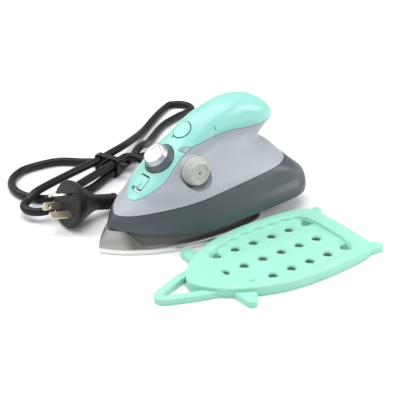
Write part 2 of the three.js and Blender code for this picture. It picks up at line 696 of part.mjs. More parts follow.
// Chamber cover, with the hole that lets the drip pipe in
const coverBottom = castingTop + fit;
const coverTop = coverBottom + coverThick;
const dripHole = 1.5;
const chamberCover = solidOf(solePlan(coverInset, coverSetback, coverBottom, coverTop))
  .subtract(solidOf(rod(dripHole, castingTop, coverTop + overrun, 10).translate(valveX, knobY, 0)));
piece("chamber_cover", chamberCover, steel);

// Thermostat on its wedge-shaped bracket, at the inner end of the dial's spindle
const thermostatRadius = 11;
const thermostatThick = 6;
const hubRadius = 8.8;
const thermostatTop = spindleLength + fit;
const thermostat = groupAt(dialPlace);
piece("thermostat", solidOf(turned([
  [0, -thermostatTop - thermostatThick], [thermostatRadius, -thermostatTop - thermostatThick],
  [thermostatRadius, -thermostatTop - thermostatThick / 2],
  [hubRadius, -thermostatTop - thermostatThick / 2], [hubRadius, -thermostatTop - overrun],
  [spindleWidth, -thermostatTop - overrun], [spindleWidth, -thermostatTop], [0, -thermostatTop],
], 20)), whitePlastic, thermostat);
const wedgeHalfWidth = 8;
const wedgeReach = thermostatRadius * 0.85;
const wedgeCorner = (along) =>
  at(0, along, -thermostatTop - thermostatThick - fit).applyMatrix4(dialPlace);
const wedgeFoot = coverTop + fit;
const [wedgeFront, wedgeRear] = [wedgeCorner(-wedgeReach), wedgeCorner(wedgeReach)];
piece("thermostat_bracket", across([
  [wedgeFront.y, wedgeFoot], [wedgeRear.y, wedgeFoot], [wedgeRear.y, wedgeRear.z],
  [wedgeFront.y, wedgeFront.z],
], -wedgeHalfWidth, wedgeHalfWidth), brass);

// Thermal fuse in its saddle on the chamber cover
const fuseY = 40;
const fuseRadius = 2.6;
const fuseLength = 16;
const fuseZ = coverTop + fit + fuseRadius + overrun;
const fuse = solidOf(rod(fuseRadius, -fuseLength / 2, fuseLength / 2, 12).applyMatrix4(alongX)
  .translate(0, fuseY, fuseZ));
const saddle = solidOf(box(-fuseLength / 4, fuseLength / 4, fuseY - fuseRadius - overrun,
  fuseY + fuseRadius + overrun, coverTop + fit, fuseZ));
piece("thermal_fuse", fuse.add(saddle), whitePlastic);

// Water tank inside the shell, with a spigot to the valve and an inlet for the filler hose
const tankReach = 83;
const tankDepth = 56;
const tankBottomShare = 0.4444;
const tankTopShare = 0.6111;
const inletShare = 0.5152;
const tankFrontY = noseY + tankReach;
const tankRearY = tankFrontY + tankDepth;
const tankBottom = tankBottomShare * bodyHeight;
const tankTop = tankTopShare * bodyHeight;
const tankWall = 1.6;
const inletX = -10;
const inletZ = inletShare * bodyHeight;
const hoseRadius = 3;
const hoseBore = 2;
const spigotRadius = 2.5;
const spigotBore = 1.4;
const tankRoom = (shrink) => bodyRoom(wall + fit + shrink).intersect(solidOf(box(
  -farOut, farOut, tankFrontY + shrink, tankRearY - shrink, tankBottom + shrink, tankTop - shrink)));
const alongY = new THREE.Matrix4().makeRotationX(-Math.PI / 2);
const pipeY = (radius, x, z, y0, y1) =>
  solidOf(rod(radius, y0, y1, 12).applyMatrix4(alongY).translate(x, 0, z));
const spigotStart = knobY + valveRadius + fit;
const tank = tankRoom(0)
  .add(pipeY(spigotRadius, valveX, knobZ, spigotStart, tankFrontY + tankWall))
  .subtract(tankRoom(tankWall))
  .subtract(pipeY(spigotBore, valveX, knobZ, knobY, tankFrontY + 2 * tankWall))
  .subtract(pipeY(hoseBore, inletX, inletZ, knobY, tankFrontY + 2 * tankWall));
piece("water_tank", tank, clearPlastic);

// Filler hose from the neck back to the tank, and steam hose from the pump to the valve
const neckEnd = at(0, 0, -neckDepth - fit).applyMatrix4(flapPlace);
const neckLead = at(0, 0, -neckDepth - hoseRadius - fit).applyMatrix4(flapPlace);
const hoseLow = { x: -5, reach: 51, heightShare: 0.3333 };
const hoseHigh = { x: -10, reach: 65, heightShare: 0.404 };
const inBody = ({ x, reach, heightShare }) => at(x, noseY + reach, heightShare * bodyHeight);
piece("filler_hose", tubeAlong([
  neckEnd, neckLead, inBody(hoseLow), inBody(hoseHigh),
  at(inletX, tankFrontY - 2 * hoseRadius, inletZ), at(inletX, tankFrontY - fit, inletZ),
], hoseRadius, 6, 16), blackRubber);
const steamHoseRadius = 1.6;
const portDepth = -pumpTop - pumpLength * 0.7;
const pumpPort = at(0, -pumpRadius - fit, portDepth).applyMatrix4(buttonPlace);
const portLead = at(0, -pumpRadius - fit - steamHoseRadius, portDepth).applyMatrix4(buttonPlace);
const steamHoseBend = { x: 5.2, reach: 68.6, rise: 2.4 };
const steamHoseDrop = { x: 9, reach: 66.8, rise: 4 };
const overValve = ({ x, reach, rise }) => at(x, noseY + reach, valveTop + rise);
piece("steam_hose", tubeAlong([
  pumpPort, portLead, overValve(steamHoseBend), overValve(steamHoseDrop),
  at(valveX, knobY, valveTop + steamHoseRadius), at(valveX, knobY, valveTop + fit),
], steamHoseRadius, 6, 16), blackRubber);

// Drip valve behind the selector, with its pipe down to the chamber
piece("drip_valve", rod(valveRadius, valveBottom, valveTop, 18).translate(valveX, knobY, 0),
  whitePlastic);
const dripRadius = 2.2;
piece("drip_pipe", solidOf(turned([
  [dripHole, coverTop + fit], [dripRadius, coverTop + fit], [dripRadius, valveBottom - fit],
  [dripHole, valveBottom - fit], [dripHole, coverTop + fit],
], 12).translate(valveX, knobY, 0)), steel);

// Heel cover: the plate that closes the skirt behind the soleplate
const heelBottom = 11.5;
const heelThick = 2;
const heelFrontY = soleLength / 2 - heelThick;
const heelPlate = (level) => solidOf(upright(
  ringPlan(bodyRing(level, wall + 3 * fit, bodySteps)), heelBottom, heelBottom + heelThick));
const heel = heelPlate(bodyLevelAt(heelBottom + heelThick + wall))
  .intersect(heelPlate(bodyLevelAt(heelBottom - wall)))
  .intersect(solidOf(box(-farOut, farOut, heelFrontY, bodyLength, 0, bodyHeight)));
piece("heel_cover", heel, darkPlastic);

// Terminal block and leads on the frame
const terminalGap = 9;
const terminalDepth = 14;
const terminalFront = elementEndY + terminalGap;
const terminal = {
  halfWidth: 13, front: terminalFront, rear: terminalFront + terminalDepth, height: 10,
};
const terminalFoot = frameTop + fit;
const terminalMiddle = terminalFoot + terminal.height / 2;
const terminalTop = terminalFoot + terminal.height;
let terminalBlock = solidOf(box(
  -terminal.halfWidth, terminal.halfWidth, terminal.front, terminal.rear, terminalFoot, terminalTop));
const terminalWays = 3;
for (let i = 0; i < terminalWays; i += 1) {
  const x = terminal.halfWidth * ((2 * i + 1) / terminalWays - 1);
  const way = rod(screwRadius, terminalMiddle, terminalTop + overrun, 10)
    .translate(x, (terminal.front + terminal.rear) / 2, 0);
  terminalBlock = terminalBlock.subtract(solidOf(way));
}
piece("terminal_block", terminalBlock, whitePlastic);
const leadRadius = 1.3;
const leadSwing = 5;
const leadZ = terminalFoot + terminal.height * 0.7;
for (const side of [-1, 1]) {
  const endX = side * terminal.halfWidth * 2 / terminalWays;
  piece(side < 0 ? "element_lead_left" : "element_lead_right", tubeAlong([
    at(side * elementEndX, elementEndY, elementEndZ + fit),
    at(side * elementEndX, elementEndY, elementEndZ + 2 * leadRadius),
    at(side * (elementEndX - leadSwing), elementEndY + leadRadius, leadZ + 2 * leadRadius),
    at(endX, terminal.front - 4 * leadRadius, leadZ), at(endX, terminal.front - fit, leadZ),
  ], leadRadius, 6, 10), blackRubber);
}

// Cord bushing: a flanged rubber relief in the far side of the skirt, low near the rear
const exitX = -38;
const exitReach = 140;
const exitY = noseY + exitReach;
const exitZ = 35.5;
const exitTurn = -45 * degree;
const reliefLength = 26;
const reliefRootRadius = 6;
const reliefTipRadius = 4.4;
const flangeRadius = 7.5;
const flangeThick = 2;
const reliefRings = 4;
const bushingPlace = new THREE.Matrix4().makeRotationY(-Math.PI / 2)
  .premultiply(new THREE.Matrix4().makeRotationZ(exitTurn)).setPosition(exitX, exitY, exitZ);
const flangeFront = -3 * wall;
const flangeBack = flangeFront - flangeThick;
const bushingProfile = [
  [0, flangeBack], [flangeRadius, flangeBack], [flangeRadius, flangeFront],
  [reliefRootRadius, flangeFront],
];
for (let i = 0; i <= reliefRings; i += 1) {
  const share = i / reliefRings;
  const radius = reliefRootRadius + (reliefTipRadius - reliefRootRadius) * share;
  const length = wall + (reliefLength - wall) * share;
  if (i > 0) bushingProfile.push([radius, length - wall / 2], [radius - fit * 2, length - wall / 2]);
  bushingProfile.push([radius - fit * 2, length], [radius, length]);
}
bushingProfile.push([0, reliefLength]);
piece("cord_bushing", turned(bushingProfile, 10).applyMatrix4(bushingPlace), blackRubber);
skirt = skirt
  .subtract(placed(rod(reliefRootRadius + 2 * fit, flangeBack - wall, reliefLength, 14), bushingPlace))
  .subtract(placed(rod(flangeRadius + fit, flangeBack - wall, flangeFront + fit, 14), bushingPlace));
piece("skirt", skirt, darkPlastic);

// Supply lead from the bushing to the terminals
const sheathRadius = cordWidth / 2;
const supplyRadius = 2.2;
const supplyInset = 5;
const supplyY = terminal.front + supplyInset;
const supplyZ = terminalMiddle;
const bushingBack = at(0, 0, flangeBack - fit).applyMatrix4(bushingPlace);
const bushingLead = at(0, 0, flangeBack - 2 * supplyRadius).applyMatrix4(bushingPlace);
const supplyRoute = [
  bushingBack, bushingLead, at(-24, supplyY - 2.5, exitZ - 1), at(-20.5, supplyY - 1.5, supplyZ + 1.5),
  at(-terminal.halfWidth - 2 * supplyRadius, supplyY, supplyZ),
  at(-terminal.halfWidth - fit, supplyY, supplyZ),
];
piece("supply_lead", tubeAlong(supplyRoute, supplyRadius, 6, 14), blackRubber);

// Clamp that holds the lead on the frame
const clampSetback = 1.8;
const clamp = {
  x: -21.5, halfThick: 1.8, y: supplyY - clampSetback, halfWidth: 5.5, height: 12,
};
const clampBlock = box(clamp.x - clamp.halfThick, clamp.x + clamp.halfThick,
  clamp.y - clamp.halfWidth, clamp.y + clamp.halfWidth, terminalFoot, terminalFoot + clamp.height);
piece("cord_clamp", solidOf(clampBlock)
  .subtract(solidOf(tubeAlong(supplyRoute, supplyRadius + fit, 6, 14))), blackPlastic);

// Free cord, in world places: the lead from the bushing down to the coil
const floorZ = cordWidth / 2 + fit;
const layerGap = 0.8;
const layerRise = cordWidth + layerGap;
const coilX = -84;
const coilY = 102;
const coilTurns = 3.208;
const coilStart = 105 * degree;
const coilSteps = 20;
const coilPoints = [];
for (let i = 0; i <= coilTurns * coilSteps; i += 1) {
  const turn = i / coilSteps;
  const fromMiddle = Math.abs(turn - coilTurns / 2);
  const radius = coilRadius - layerRise * (coilTurns / 2 - fromMiddle);
  const angle = coilStart + turn * 2 * Math.PI;
  const drop = easeShare((turn - coilTurns / 2) * 2 + 0.5);
  coilPoints.push(at(coilX + radius * Math.cos(angle), coilY + radius * Math.sin(angle),
    floorZ + layerRise * (1 - drop)));
}
const startPoint = coilPoints[0];
const endPoint = coilPoints[coilPoints.length - 1];
const shortOf = (from, to, gap) => to.clone().sub(from).setLength(gap).add(from);
const straightOn = (inner, end, length) => end.clone().add(end.clone().sub(inner).setLength(length));
const coilEntry = straightOn(coilPoints[1], startPoint, cordWidth);
const coilExit = straightOn(coilPoints[coilPoints.length - 2], endPoint, cordWidth);
const cordSides = 8;
const woundSides = 6;
piece("cord_coil", tubeAlong([coilEntry, ...coilPoints, coilExit], sheathRadius, woundSides, 68),
  blackRubber);
const tipOut = at(0, 0, reliefLength + fit).applyMatrix4(bushingPlace);
const tipOn = at(0, 0, reliefLength + cordWidth).applyMatrix4(bushingPlace);
const leadEnd = shortOf(coilEntry, startPoint, -fit);
piece("cord_lead", tubeAlong([
  tipOut, tipOn, at(-66, 110, 33), at(-67.5, 123, 27), at(-70, 134, 20.5), at(-76, 140, 14.5),
  shortOf(coilEntry, startPoint, -cordWidth), leadEnd,
], sheathRadius, cordSides, 14), blackRubber);

// Hank: a tied bundle of three petals, in the tie's own directions along and aside
const tieX = -113.6;
const tieY = 14.1;
const tieTurn = 19.9 * degree;
const hankPlace = (along, aside, z) => at(
  tieX - along * Math.sin(tieTurn) - aside * Math.cos(tieTurn),
  tieY + along * Math.cos(tieTurn) - aside * Math.sin(tieTurn), z);
const laneAside = 7.6;
const lowLaneZ = 5.2;
const topLaneZ = lowLaneZ + layerRise;
const crossZ = floorZ + layerRise;

// A fold of a petal: an arc about a centre, its angle counted from straight along to aside.
function fold(along, aside, radius, start, end, steps, z0, z1) {
  const points = [];
  for (let i = 0; i <= steps; i += 1) {
    const share = i / steps;
    const angle = (start + (end - start) * share) * degree;
    points.push(hankPlace(along + radius * Math.cos(angle), aside + radius * Math.sin(angle),
      z0 + (z1 - z0) * share));
  }
  return points;
}

const hankEntry = hankPlace(45, -14, floorZ);
const hankPoints = [
  hankEntry, hankPlace(38, -11, floorZ), hankPlace(22, 0, floorZ), hankPlace(8, 13, floorZ),
  hankPlace(-3, 29, floorZ), hankPlace(-15, 50, floorZ),
  ...fold(-48, 29, 35, 75, 250, 7, floorZ, floorZ),
  hankPlace(-42, -9.5, floorZ), hankPlace(-20, -8, floorZ + 0.6),
  hankPlace(-5, -laneAside, lowLaneZ), hankPlace(8, -laneAside, lowLaneZ),
  hankPlace(20, -8, 8), hankPlace(32, -6.6, crossZ + 0.4), hankPlace(45, -3.5, crossZ - 1),
  hankPlace(58, 1, 6), hankPlace(72, 6.5, floorZ), hankPlace(104, 15, floorZ),
  hankPlace(132, 15.5, floorZ),
  ...fold(148, 26, 14, -80, 80, 6, floorZ, floorZ),
  hankPlace(122, 34.5, floorZ), hankPlace(84, 24, floorZ), hankPlace(52, 14.5, 8.4),
  hankPlace(28, 8.4, crossZ + 0.6), hankPlace(8, laneAside, topLaneZ),
  hankPlace(-5, laneAside, topLaneZ), hankPlace(-18, 9.5, topLaneZ - 0.5),
  hankPlace(-45, 13.5, crossZ + 0.2), hankPlace(-70, 15.5, crossZ + 0.2),
  hankPlace(-86, 15.5, crossZ),
  ...fold(-96, 2.5, 12.5, 90, 270, 5, 8.4, 8.4),
  hankPlace(-82, -9, crossZ - 0.5), hankPlace(-60, -7, crossZ + 0.2),
  hankPlace(-40, -6.6, crossZ + 0.3), hankPlace(-18, -laneAside, topLaneZ - 0.4),
  hankPlace(-5, -laneAside, topLaneZ), hankPlace(3, -8.6, topLaneZ + 0.2),
];
piece("cord_hank", tubeAlong(hankPoints, sheathRadius, woundSides, 122), blackRubber);
piece("cord_run", tubeAlong([
  shortOf(coilExit, endPoint, -fit), shortOf(coilExit, endPoint, -cordWidth),
  at(-118.5, 84, floorZ), at(-116.5, 72, floorZ),
  straightOn(hankPlace(38, -11, floorZ), hankEntry, cordWidth),
  straightOn(hankPlace(38, -11, floorZ), hankEntry, fit),
], sheathRadius, cordSides, 10), blackRubber);

// Least gap of a wound tube to itself, beyond the stretch that its bends join
function leastSelfGap(points, steps, clearance) {
  const route = routeOf(points);
  const places = route.getSpacedPoints(steps);
  const spacing = route.getLength() / steps;
  const skip = Math.ceil(clearance / spacing);
  let least = Infinity;
  for (let i = 0; i <= steps; i += 1) {
    for (let j = i + skip; j <= steps; j += 1) {
      least = Math.min(least, places[i].distanceTo(places[j]));
    }
  }
  return least - cordWidth;
}
const gapSteps = 1000;
const woundRoutes = { coil: [coilEntry, ...coilPoints, coilExit], hank: hankPoints };
for (const [name, points] of Object.entries(woundRoutes)) {
  const gap = leastSelfGap(points, gapSteps, 3 * cordWidth).toFixed(2);
  console.log(`least gap of the ${name} to itself: ${gap} mm`);
}

// Strap round the bundle, with its loose end
const strapThick = 1.2;
const strapWidth = 6;
const strapAlong = -5;
const strapTailReach = 9;
const strapTailDrop = 4;
const strapGap = 0.4;
const strapHalf = laneAside + sheathRadius + strapGap;
const strapBottom = strapThick;
const strapTop = topLaneZ + sheathRadius + strapGap;
const roundedBox = (halfWidth, low, high, corner, shape) => {
  shape.moveTo(halfWidth, low + corner);
  shape.lineTo(halfWidth, high - corner);
  shape.absarc(halfWidth - corner, high - corner, corner, 0, Math.PI / 2, false);
  shape.absarc(corner - halfWidth, high - corner, corner, Math.PI / 2, Math.PI, false);
  shape.absarc(corner - halfWidth, low + corner, corner, Math.PI, Math.PI * 1.5, false);
  shape.absarc(halfWidth - corner, low + corner, corner, -Math.PI / 2, 0, false);
  return shape;
};
const strapShape = roundedBox(strapHalf + strapThick, strapBottom - strapThick, strapTop + strapThick,
  3 * strapThick, new THREE.Shape());
strapShape.holes.push(roundedBox(strapHalf, strapBottom, strapTop, 2 * strapThick, new THREE.Path()));
const strapRing = new THREE.ExtrudeGeometry(
  strapShape, { depth: strapWidth, bevelEnabled: false, curveSegments: 3 })
  .rotateX(Math.PI / 2).translate(0, strapWidth / 2, 0);
const strapTailZ = strapTop - strapTailDrop;
const strapTail = box(strapHalf + strapThick / 2, strapHalf + strapTailReach,
  -strapWidth / 2, strapWidth / 2, strapTailZ, strapTailZ + strapThick);
const strapPlace = new THREE.Matrix4().makeRotationZ(tieTurn).setPosition(hankPlace(strapAlong, 0, 0));
piece("cord_tie", solidOf(strapRing).add(solidOf(strapTail))
  .transform([...strapPlace.elements]), blackPlastic);

// Mains plug: a moulded body with a ribbed relief, lying with its pins towards the nose's side
const plugBack = { x: -50.9, y: -23.9, z: 8.2 };
const plugTilt = 14.7 * degree;
const plugRoll = 60 * degree;
const plugPlace = new THREE.Matrix4()
  .makeRotationX(Math.PI / 2 - plugTilt)
  .setPosition(placeOf(plugBack));
const plug = groupAt(plugPlace);
const collarRadius = 5.5;
const collarLength = 5;
const neckLength = 17;
const plugRibs = 5;
const ribHeight = 1.1;
const plugProfile = [[0, 0], [collarRadius, 0], [collarRadius, collarLength]];
for (let i = 0; i < plugRibs; i += 1) {
  const low = collarLength + (neckLength - collarLength) * (i / plugRibs);
  const high = collarLength + (neckLength - collarLength) * ((i + 0.5) / plugRibs);
  plugProfile.push([collarRadius - ribHeight, low], [collarRadius - ribHeight, high],
    [collarRadius - fit, high], [collarRadius - fit, high + fit * 2]);
}
plugProfile.push([collarRadius - ribHeight, neckLength], [collarRadius + ribHeight, neckLength],
  [plugFaceWidth * 0.36, neckLength + plugBodyLength * 0.45],
  [plugFaceWidth * 0.474, neckLength + plugBodyLength * 0.8],
  [plugFaceWidth / 2, neckLength + plugBodyLength * 0.86],
  [plugFaceWidth / 2, neckLength + plugBodyLength], [0, neckLength + plugBodyLength]);
piece("plug_body", solidOf(turned(plugProfile, 16)), blackRubber, plug);
const plugFaceZ = neckLength + plugBodyLength;
const bladeWidth = 6.35;
const bladeThick = 1.63;
const bladeLength = 17.1;
const earthLength = 19.9;
const bladeReach = 7.92;
const earthReach = 10.31;
const blades = [
  { name: "plug_blade_left", reach: bladeReach, polar: 150, turn: 30, length: bladeLength },
  { name: "plug_blade_right", reach: bladeReach, polar: 30, turn: -30, length: bladeLength },
  { name: "plug_blade_earth", reach: earthReach, polar: 270, turn: 90, length: earthLength },
];
for (const { name, reach, polar, turn, length } of blades) {
  const blade = box(-bladeWidth / 2, bladeWidth / 2, -bladeThick / 2, bladeThick / 2, fit, length)
    .rotateZ(turn * degree)
    .translate(reach * Math.cos(polar * degree), reach * Math.sin(polar * degree), plugFaceZ)
    .rotateZ(plugRoll);
  piece(name, blade, brass, plug);
}
const tailEnd = at(0, 0, -fit).applyMatrix4(plugPlace);
const tailLead = at(0, 0, -cordWidth).applyMatrix4(plugPlace);
const hankExit = hankPoints[hankPoints.length - 1];
piece("cord_tail", tubeAlong([
  straightOn(hankPoints[hankPoints.length - 2], hankExit, fit),
  straightOn(hankPoints[hankPoints.length - 2], hankExit, cordWidth),
  hankPlace(15, -17, 12.5), hankPlace(15, -28, 8), hankPlace(6, -38, floorZ + 0.4),
  hankPlace(-9, -50, floorZ), at(-54, 4, floorZ + 0.2), tailLead, tailEnd,
], sheathRadius, cordSides, 20), blackRubber);

// Silicone rest: a low tray in the outline of the soleplate, with a well, holes, ears and a loop
const restTip = { x: 86, y: -51.5, z: 0 };
const restLean = -2.9 * degree;
const restFloor = 3;
const restRim = 10;
const restRearRim = 14;
const restBowShare = 0.617;
const restSteps = 15;
const loopWidth = 8;
const loopReach = 22;
const loopHeight = 5;
const earHeight = 5;
const earRadius = 6;

function restWidth(share) {
  if (share < restBowShare) {
    return restHalfWidth * (1 - (1 - share / restBowShare) ** 2.2) ** (1 / 1.55);
  }
  const tail = (share - restBowShare) / (1 - restBowShare);
  return restHalfWidth * (1 - 0.12 * tail ** 2) * (1 - tail ** 14) ** (1 / 4);
}

function restOutline(widthAt, front, rear) {
  const side = [];
  for (let i = 0; i <= restSteps; i += 1) {
    const share = (1 - Math.cos((Math.PI * i) / restSteps)) / 2;
    side.push([widthAt(share), front + share * (rear - front)]);
  }
  return [...side, ...mirrored(side.slice(1, -1))];
}

const wellFront = 28;
const wellRear = restLength - restRearRim;
const scallops = 8;
const scallopDepth = 0.9;
function wellWidth(share) {
  const place = (wellFront + share * (wellRear - wellFront)) / restLength;
  const ends = (1 - Math.abs(2 * share - 1) ** 9) ** (1 / 2.4);
  const ripple = scallopDepth * Math.cos(2 * Math.PI * scallops * share);
  return Math.max(restWidth(place) - restRim - ripple, 0) * ends;
}

const restPlace = new THREE.Matrix4().makeRotationZ(restLean).setPosition(placeOf(restTip));
const rest = groupAt(restPlace);
let restForm = solidOf(upright(restOutline(restWidth, 0, restLength), 0, restHeight));
restForm = restForm.subtract(solidOf(upright(
  restOutline(wellWidth, wellFront, wellRear), restFloor, restHeight + overrun)));
const loopSideShares = [[0.356, 0.91], [0.289, 0.273], [0.133, -0.6]];
const loopSide = loopSideShares.map(([x, y]) => [x * restHalfWidth, y * loopReach]);
const loopPlan = [...loopSide, [0, -loopReach], ...mirrored(loopSide)].map(([x, y]) => at(x, y, 0));
restForm = restForm.add(solidOf(lane(loopPlan, loopWidth / 2, 0, loopHeight, 18)));
// Each ear: its place over the half width and the length, and its root's, towards the middle.
const earShares = [[[0.867, 0.148], [0.477, 0.188]], [[0.78, 1.02], [0.624, 0.9]]];
const earPlace = ([x, y], side) => at(side * x * restHalfWidth, y * restLength, 0);
for (const [endShare, rootShare] of earShares) {
  for (const side of [-1, 1]) {
    const root = earPlace(rootShare, side);
    const end = earPlace(endShare, side);
    const arm = lane([root, root.clone().lerp(end, 0.5), end], earRadius, 0, earHeight, 4);
    const tip = rod(earRadius, 0, earHeight, 12).translate(end.x, end.y, 0);
    restForm = restForm.add(solidOf(arm)).add(solidOf(tip));
  }
}
const holePitch = 17.75;
const holeRowX = 23.2;
const holeRadius = 4;
const firstHoleY = 41.3;
const holesPerRow = 6;
for (const row of [-1, 0, 1]) {
  for (let i = 0; i < holesPerRow; i += 1) {
    const y = firstHoleY + (i - (row === 0 ? 0.5 : 0)) * holePitch;
    const hole = rod(holeRadius, -overrun, restFloor + overrun, 10).translate(row * holeRowX, y, 0);
    restForm = restForm.subtract(solidOf(hole));
  }
}
piece("silicone_rest", restForm, mintSilicone, rest);

export default group;
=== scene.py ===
# %% [markdown]
# # A mini craft iron, its cord and its silicone rest
# This lesson dresses a CAD model of a small steam iron. The CAD frame gives every place and every
# joint, and each visible part is made again here as a smooth surface worked out with numpy.
# All shapes are written in millimetres and turned to metres only when a mesh is made, because a
# real iron is drawn and measured in millimetres.

# %% Load the frame and set the unit
import json
import math

import bmesh
import bpy
import numpy as np
from mathutils import Matrix


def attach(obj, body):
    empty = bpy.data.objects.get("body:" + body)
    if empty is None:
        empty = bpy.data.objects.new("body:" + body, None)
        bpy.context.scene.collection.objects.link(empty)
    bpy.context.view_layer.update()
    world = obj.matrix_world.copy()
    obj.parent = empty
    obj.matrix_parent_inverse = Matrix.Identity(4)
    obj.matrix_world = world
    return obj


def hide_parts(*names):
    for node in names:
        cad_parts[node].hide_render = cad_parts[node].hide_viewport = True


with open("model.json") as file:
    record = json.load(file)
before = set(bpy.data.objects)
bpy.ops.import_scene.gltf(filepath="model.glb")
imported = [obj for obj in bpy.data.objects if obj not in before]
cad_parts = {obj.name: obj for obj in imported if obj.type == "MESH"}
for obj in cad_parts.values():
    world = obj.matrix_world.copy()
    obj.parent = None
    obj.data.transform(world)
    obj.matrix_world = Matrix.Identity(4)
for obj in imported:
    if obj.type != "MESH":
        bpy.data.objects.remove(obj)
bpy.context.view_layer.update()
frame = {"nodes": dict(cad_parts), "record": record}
MM = 0.001

# %% [markdown]
# ## The camera
# The photograph looks down at the nose of the iron from the side of its selector knob. A long lens
# from 0.85 m away keeps the proportions calm, as product photographs do. The lens is 90 mm on a
# 36 mm sensor, and the camera turns towards one point on the table.

# %% Camera
camera_place = np.array([0.5732, -0.4218, 0.3912])
camera_target = np.array([-0.0215, 0.0428, 0.0])
camera_data = bpy.data.cameras.new("camera")
camera_data.lens, camera_data.sensor_width = 90.0, 36.0
camera = bpy.data.objects.new("camera", camera_data)


def aim(thing, place, target):
    """Put a thing at a place and turn its -Z axis to a target: Z is the way back from the target,
    X is level and square to it, and Y is square to both."""
    back = np.asarray(place) - np.asarray(target)
    back = back / np.linalg.norm(back)
    side = np.cross([0.0, 0.0, 1.0], back)
    side = side / np.linalg.norm(side)
    pose = np.eye(4)
    pose[:3] = np.stack([side, np.cross(back, side), back, place], axis=1)
    thing.matrix_world = Matrix(pose.tolist())
    bpy.context.scene.collection.objects.link(thing)


aim(camera, camera_place, camera_target)
bpy.context.scene.camera = camera
print("camera distance in metres:", np.linalg.norm(camera_place - camera_target).round(3))

# %% [markdown]
# ## From numbers to meshes
# A shape is kept as a pair: an array of points and a list of faces. Almost every part is a grid of
# points, with rows that run along it and columns that run round it. One function joins neighbours
# of a grid with quads and closes both ends with a fan to the middle of the end row.

# %% Grids, and meshes made of them
def grid_shape(points, caps=True, ring=False):
    """Points of shape (rows, columns, 3) with columns that close on themselves. Quad (r, c) joins
    rows r and r + 1 and columns c and c + 1. With ring, the last row joins the first again."""
    rows, columns = points.shape[:2]
    row = np.arange(rows if ring else rows - 1)[:, None]
    column = np.arange(columns)
    here, there, beside = row * columns, (row + 1) % rows * columns, (column + 1) % columns
    quads = np.stack([here + column, here + beside, there + beside, there + column], axis=-1)
    faces, flat = quads.reshape(-1, 4).tolist(), points.reshape(-1, 3)
    if caps and not ring:
        middle, top = np.full(columns, len(flat)), (rows - 1) * columns
        flat = np.vstack([flat, points[0].mean(axis=0), points[-1].mean(axis=0)])
        faces += np.stack([middle, beside, column], axis=-1).tolist()
        faces += np.stack([middle + 1, top + column, top + beside], axis=-1).tolist()
    return flat, faces


def together(*shapes):
    """Several shapes as one: their points are stacked and their face numbers moved on."""
    faces, start = [], 0
    for points, part_faces in shapes:
        faces += [[corner + start for corner in face] for face in part_faces]
        start += len(points)
    return np.vstack([points for points, _ in shapes]), faces


def placed(shape, matrix):
    """Every point p of a shape becomes R p + t, with R and t from a 4 x 4 matrix."""
    points, faces = shape
    return points @ matrix[:3, :3].T + matrix[:3, 3], faces


def mesh_object(name, shape):
    """An object at the origin, with a shape in millimetres as its mesh in metres. A mesh whose
    faces look inwards encloses a negative volume, and all of its faces are then turned over."""
    points, faces = shape
    mesh = bpy.data.meshes.new(name)
    mesh.from_pydata((points * MM).tolist(), [], faces)
    work = bmesh.new()
    work.from_mesh(mesh)
    if work.calc_volume(signed=True) < 0:
        bmesh.ops.reverse_faces(work, faces=work.faces)
        work.to_mesh(mesh)
    work.free()
    made = bpy.data.objects.new(name, mesh)
    bpy.context.scene.collection.objects.link(made)
    return made


# %% [markdown]
# ## Profiles
# Knobs, rings and plugs are turned parts: a profile carried round an axis. Real mouldings have no
# sharp corners, so each corner of a profile is first bent into a small curve. That curve is what
# catches a thin line of light along every edge.

# %% Soft corners, turned parts and prisms
def softened(outline, radius, steps=4, closed=False):
    """Each corner c of an outline becomes the curve (1-t)^2 a + 2 t (1-t) c + t^2 b, where a and b
    lie one radius, or under half a side, back along the two sides of that corner."""
    points = np.asarray(outline, float)
    before, after = np.roll(points, 1, axis=0), np.roll(points, -1, axis=0)
    share = np.linspace(0, 1, steps + 1)[:, None]
    made = []
    for index, (a, c, b) in enumerate(zip(before, points, after)):
        if not closed and index in (0, len(points) - 1):
            made.append(c[None, :])
            continue
        a, b = (c + (end - c) * min(radius / np.linalg.norm(end - c), 0.48) for end in (a, b))
        made.append((1 - share) ** 2 * a + 2 * share * (1 - share) * c + share ** 2 * b)
    return np.vstack(made)


def around(columns):
    """Angles at equal steps round a circle."""
    return np.linspace(0, 2 * math.pi, columns, endpoint=False)


def turned(profile, columns=96, ring=False, dip=None):
    """A profile of (radius, height) points, listed upwards, carried round the Z axis:
    x = r cos a, y = r sin a. Points on the axis are left to the fans that close the ends. A
    function dip(r, height, a) may say how far the surface is drawn in."""
    profile = np.asarray(profile, float)
    if not ring:
        profile = profile[profile[:, 0] > 1e-6]
    angle = around(columns)
    radius, height = profile[:, :1], profile[:, 1:]
    if dip:
        radius = radius - dip(radius, height, angle)
    points = np.broadcast_arrays(radius * np.cos(angle), radius * np.sin(angle), height)
    return grid_shape(np.stack(points, axis=-1), ring=ring)


def rod(radius, bottom, top, columns=64, soft=0.0):
    """A round bar on the Z axis, with both rims rounded by soft."""
    corners = [[0, bottom], [radius, bottom], [radius, top], [0, top]]
    return turned(softened(corners, soft) if soft else corners, columns)


def rectangle(left, right, low, high):
    return [[left, low], [right, low], [right, high], [left, high]]


def prism(outline, low, high, plane="yz"):
    """A flat outline carried straight between two places: along X for an outline in Y and Z,
    along Y for one in X and Z, and along Z for one in X and Y. The two end faces are single
    polygons, so the outline may have hollow sides."""
    outline = np.asarray(outline, float)
    axis, count = {"yz": 0, "xz": 1, "xy": 2}[plane], len(outline)
    points = np.stack([np.insert(outline, axis, place, axis=1) for place in (low, high)])
    flat, faces = grid_shape(points, caps=False)
    return flat, faces + [list(range(count))[::-1], list(range(count, 2 * count))]


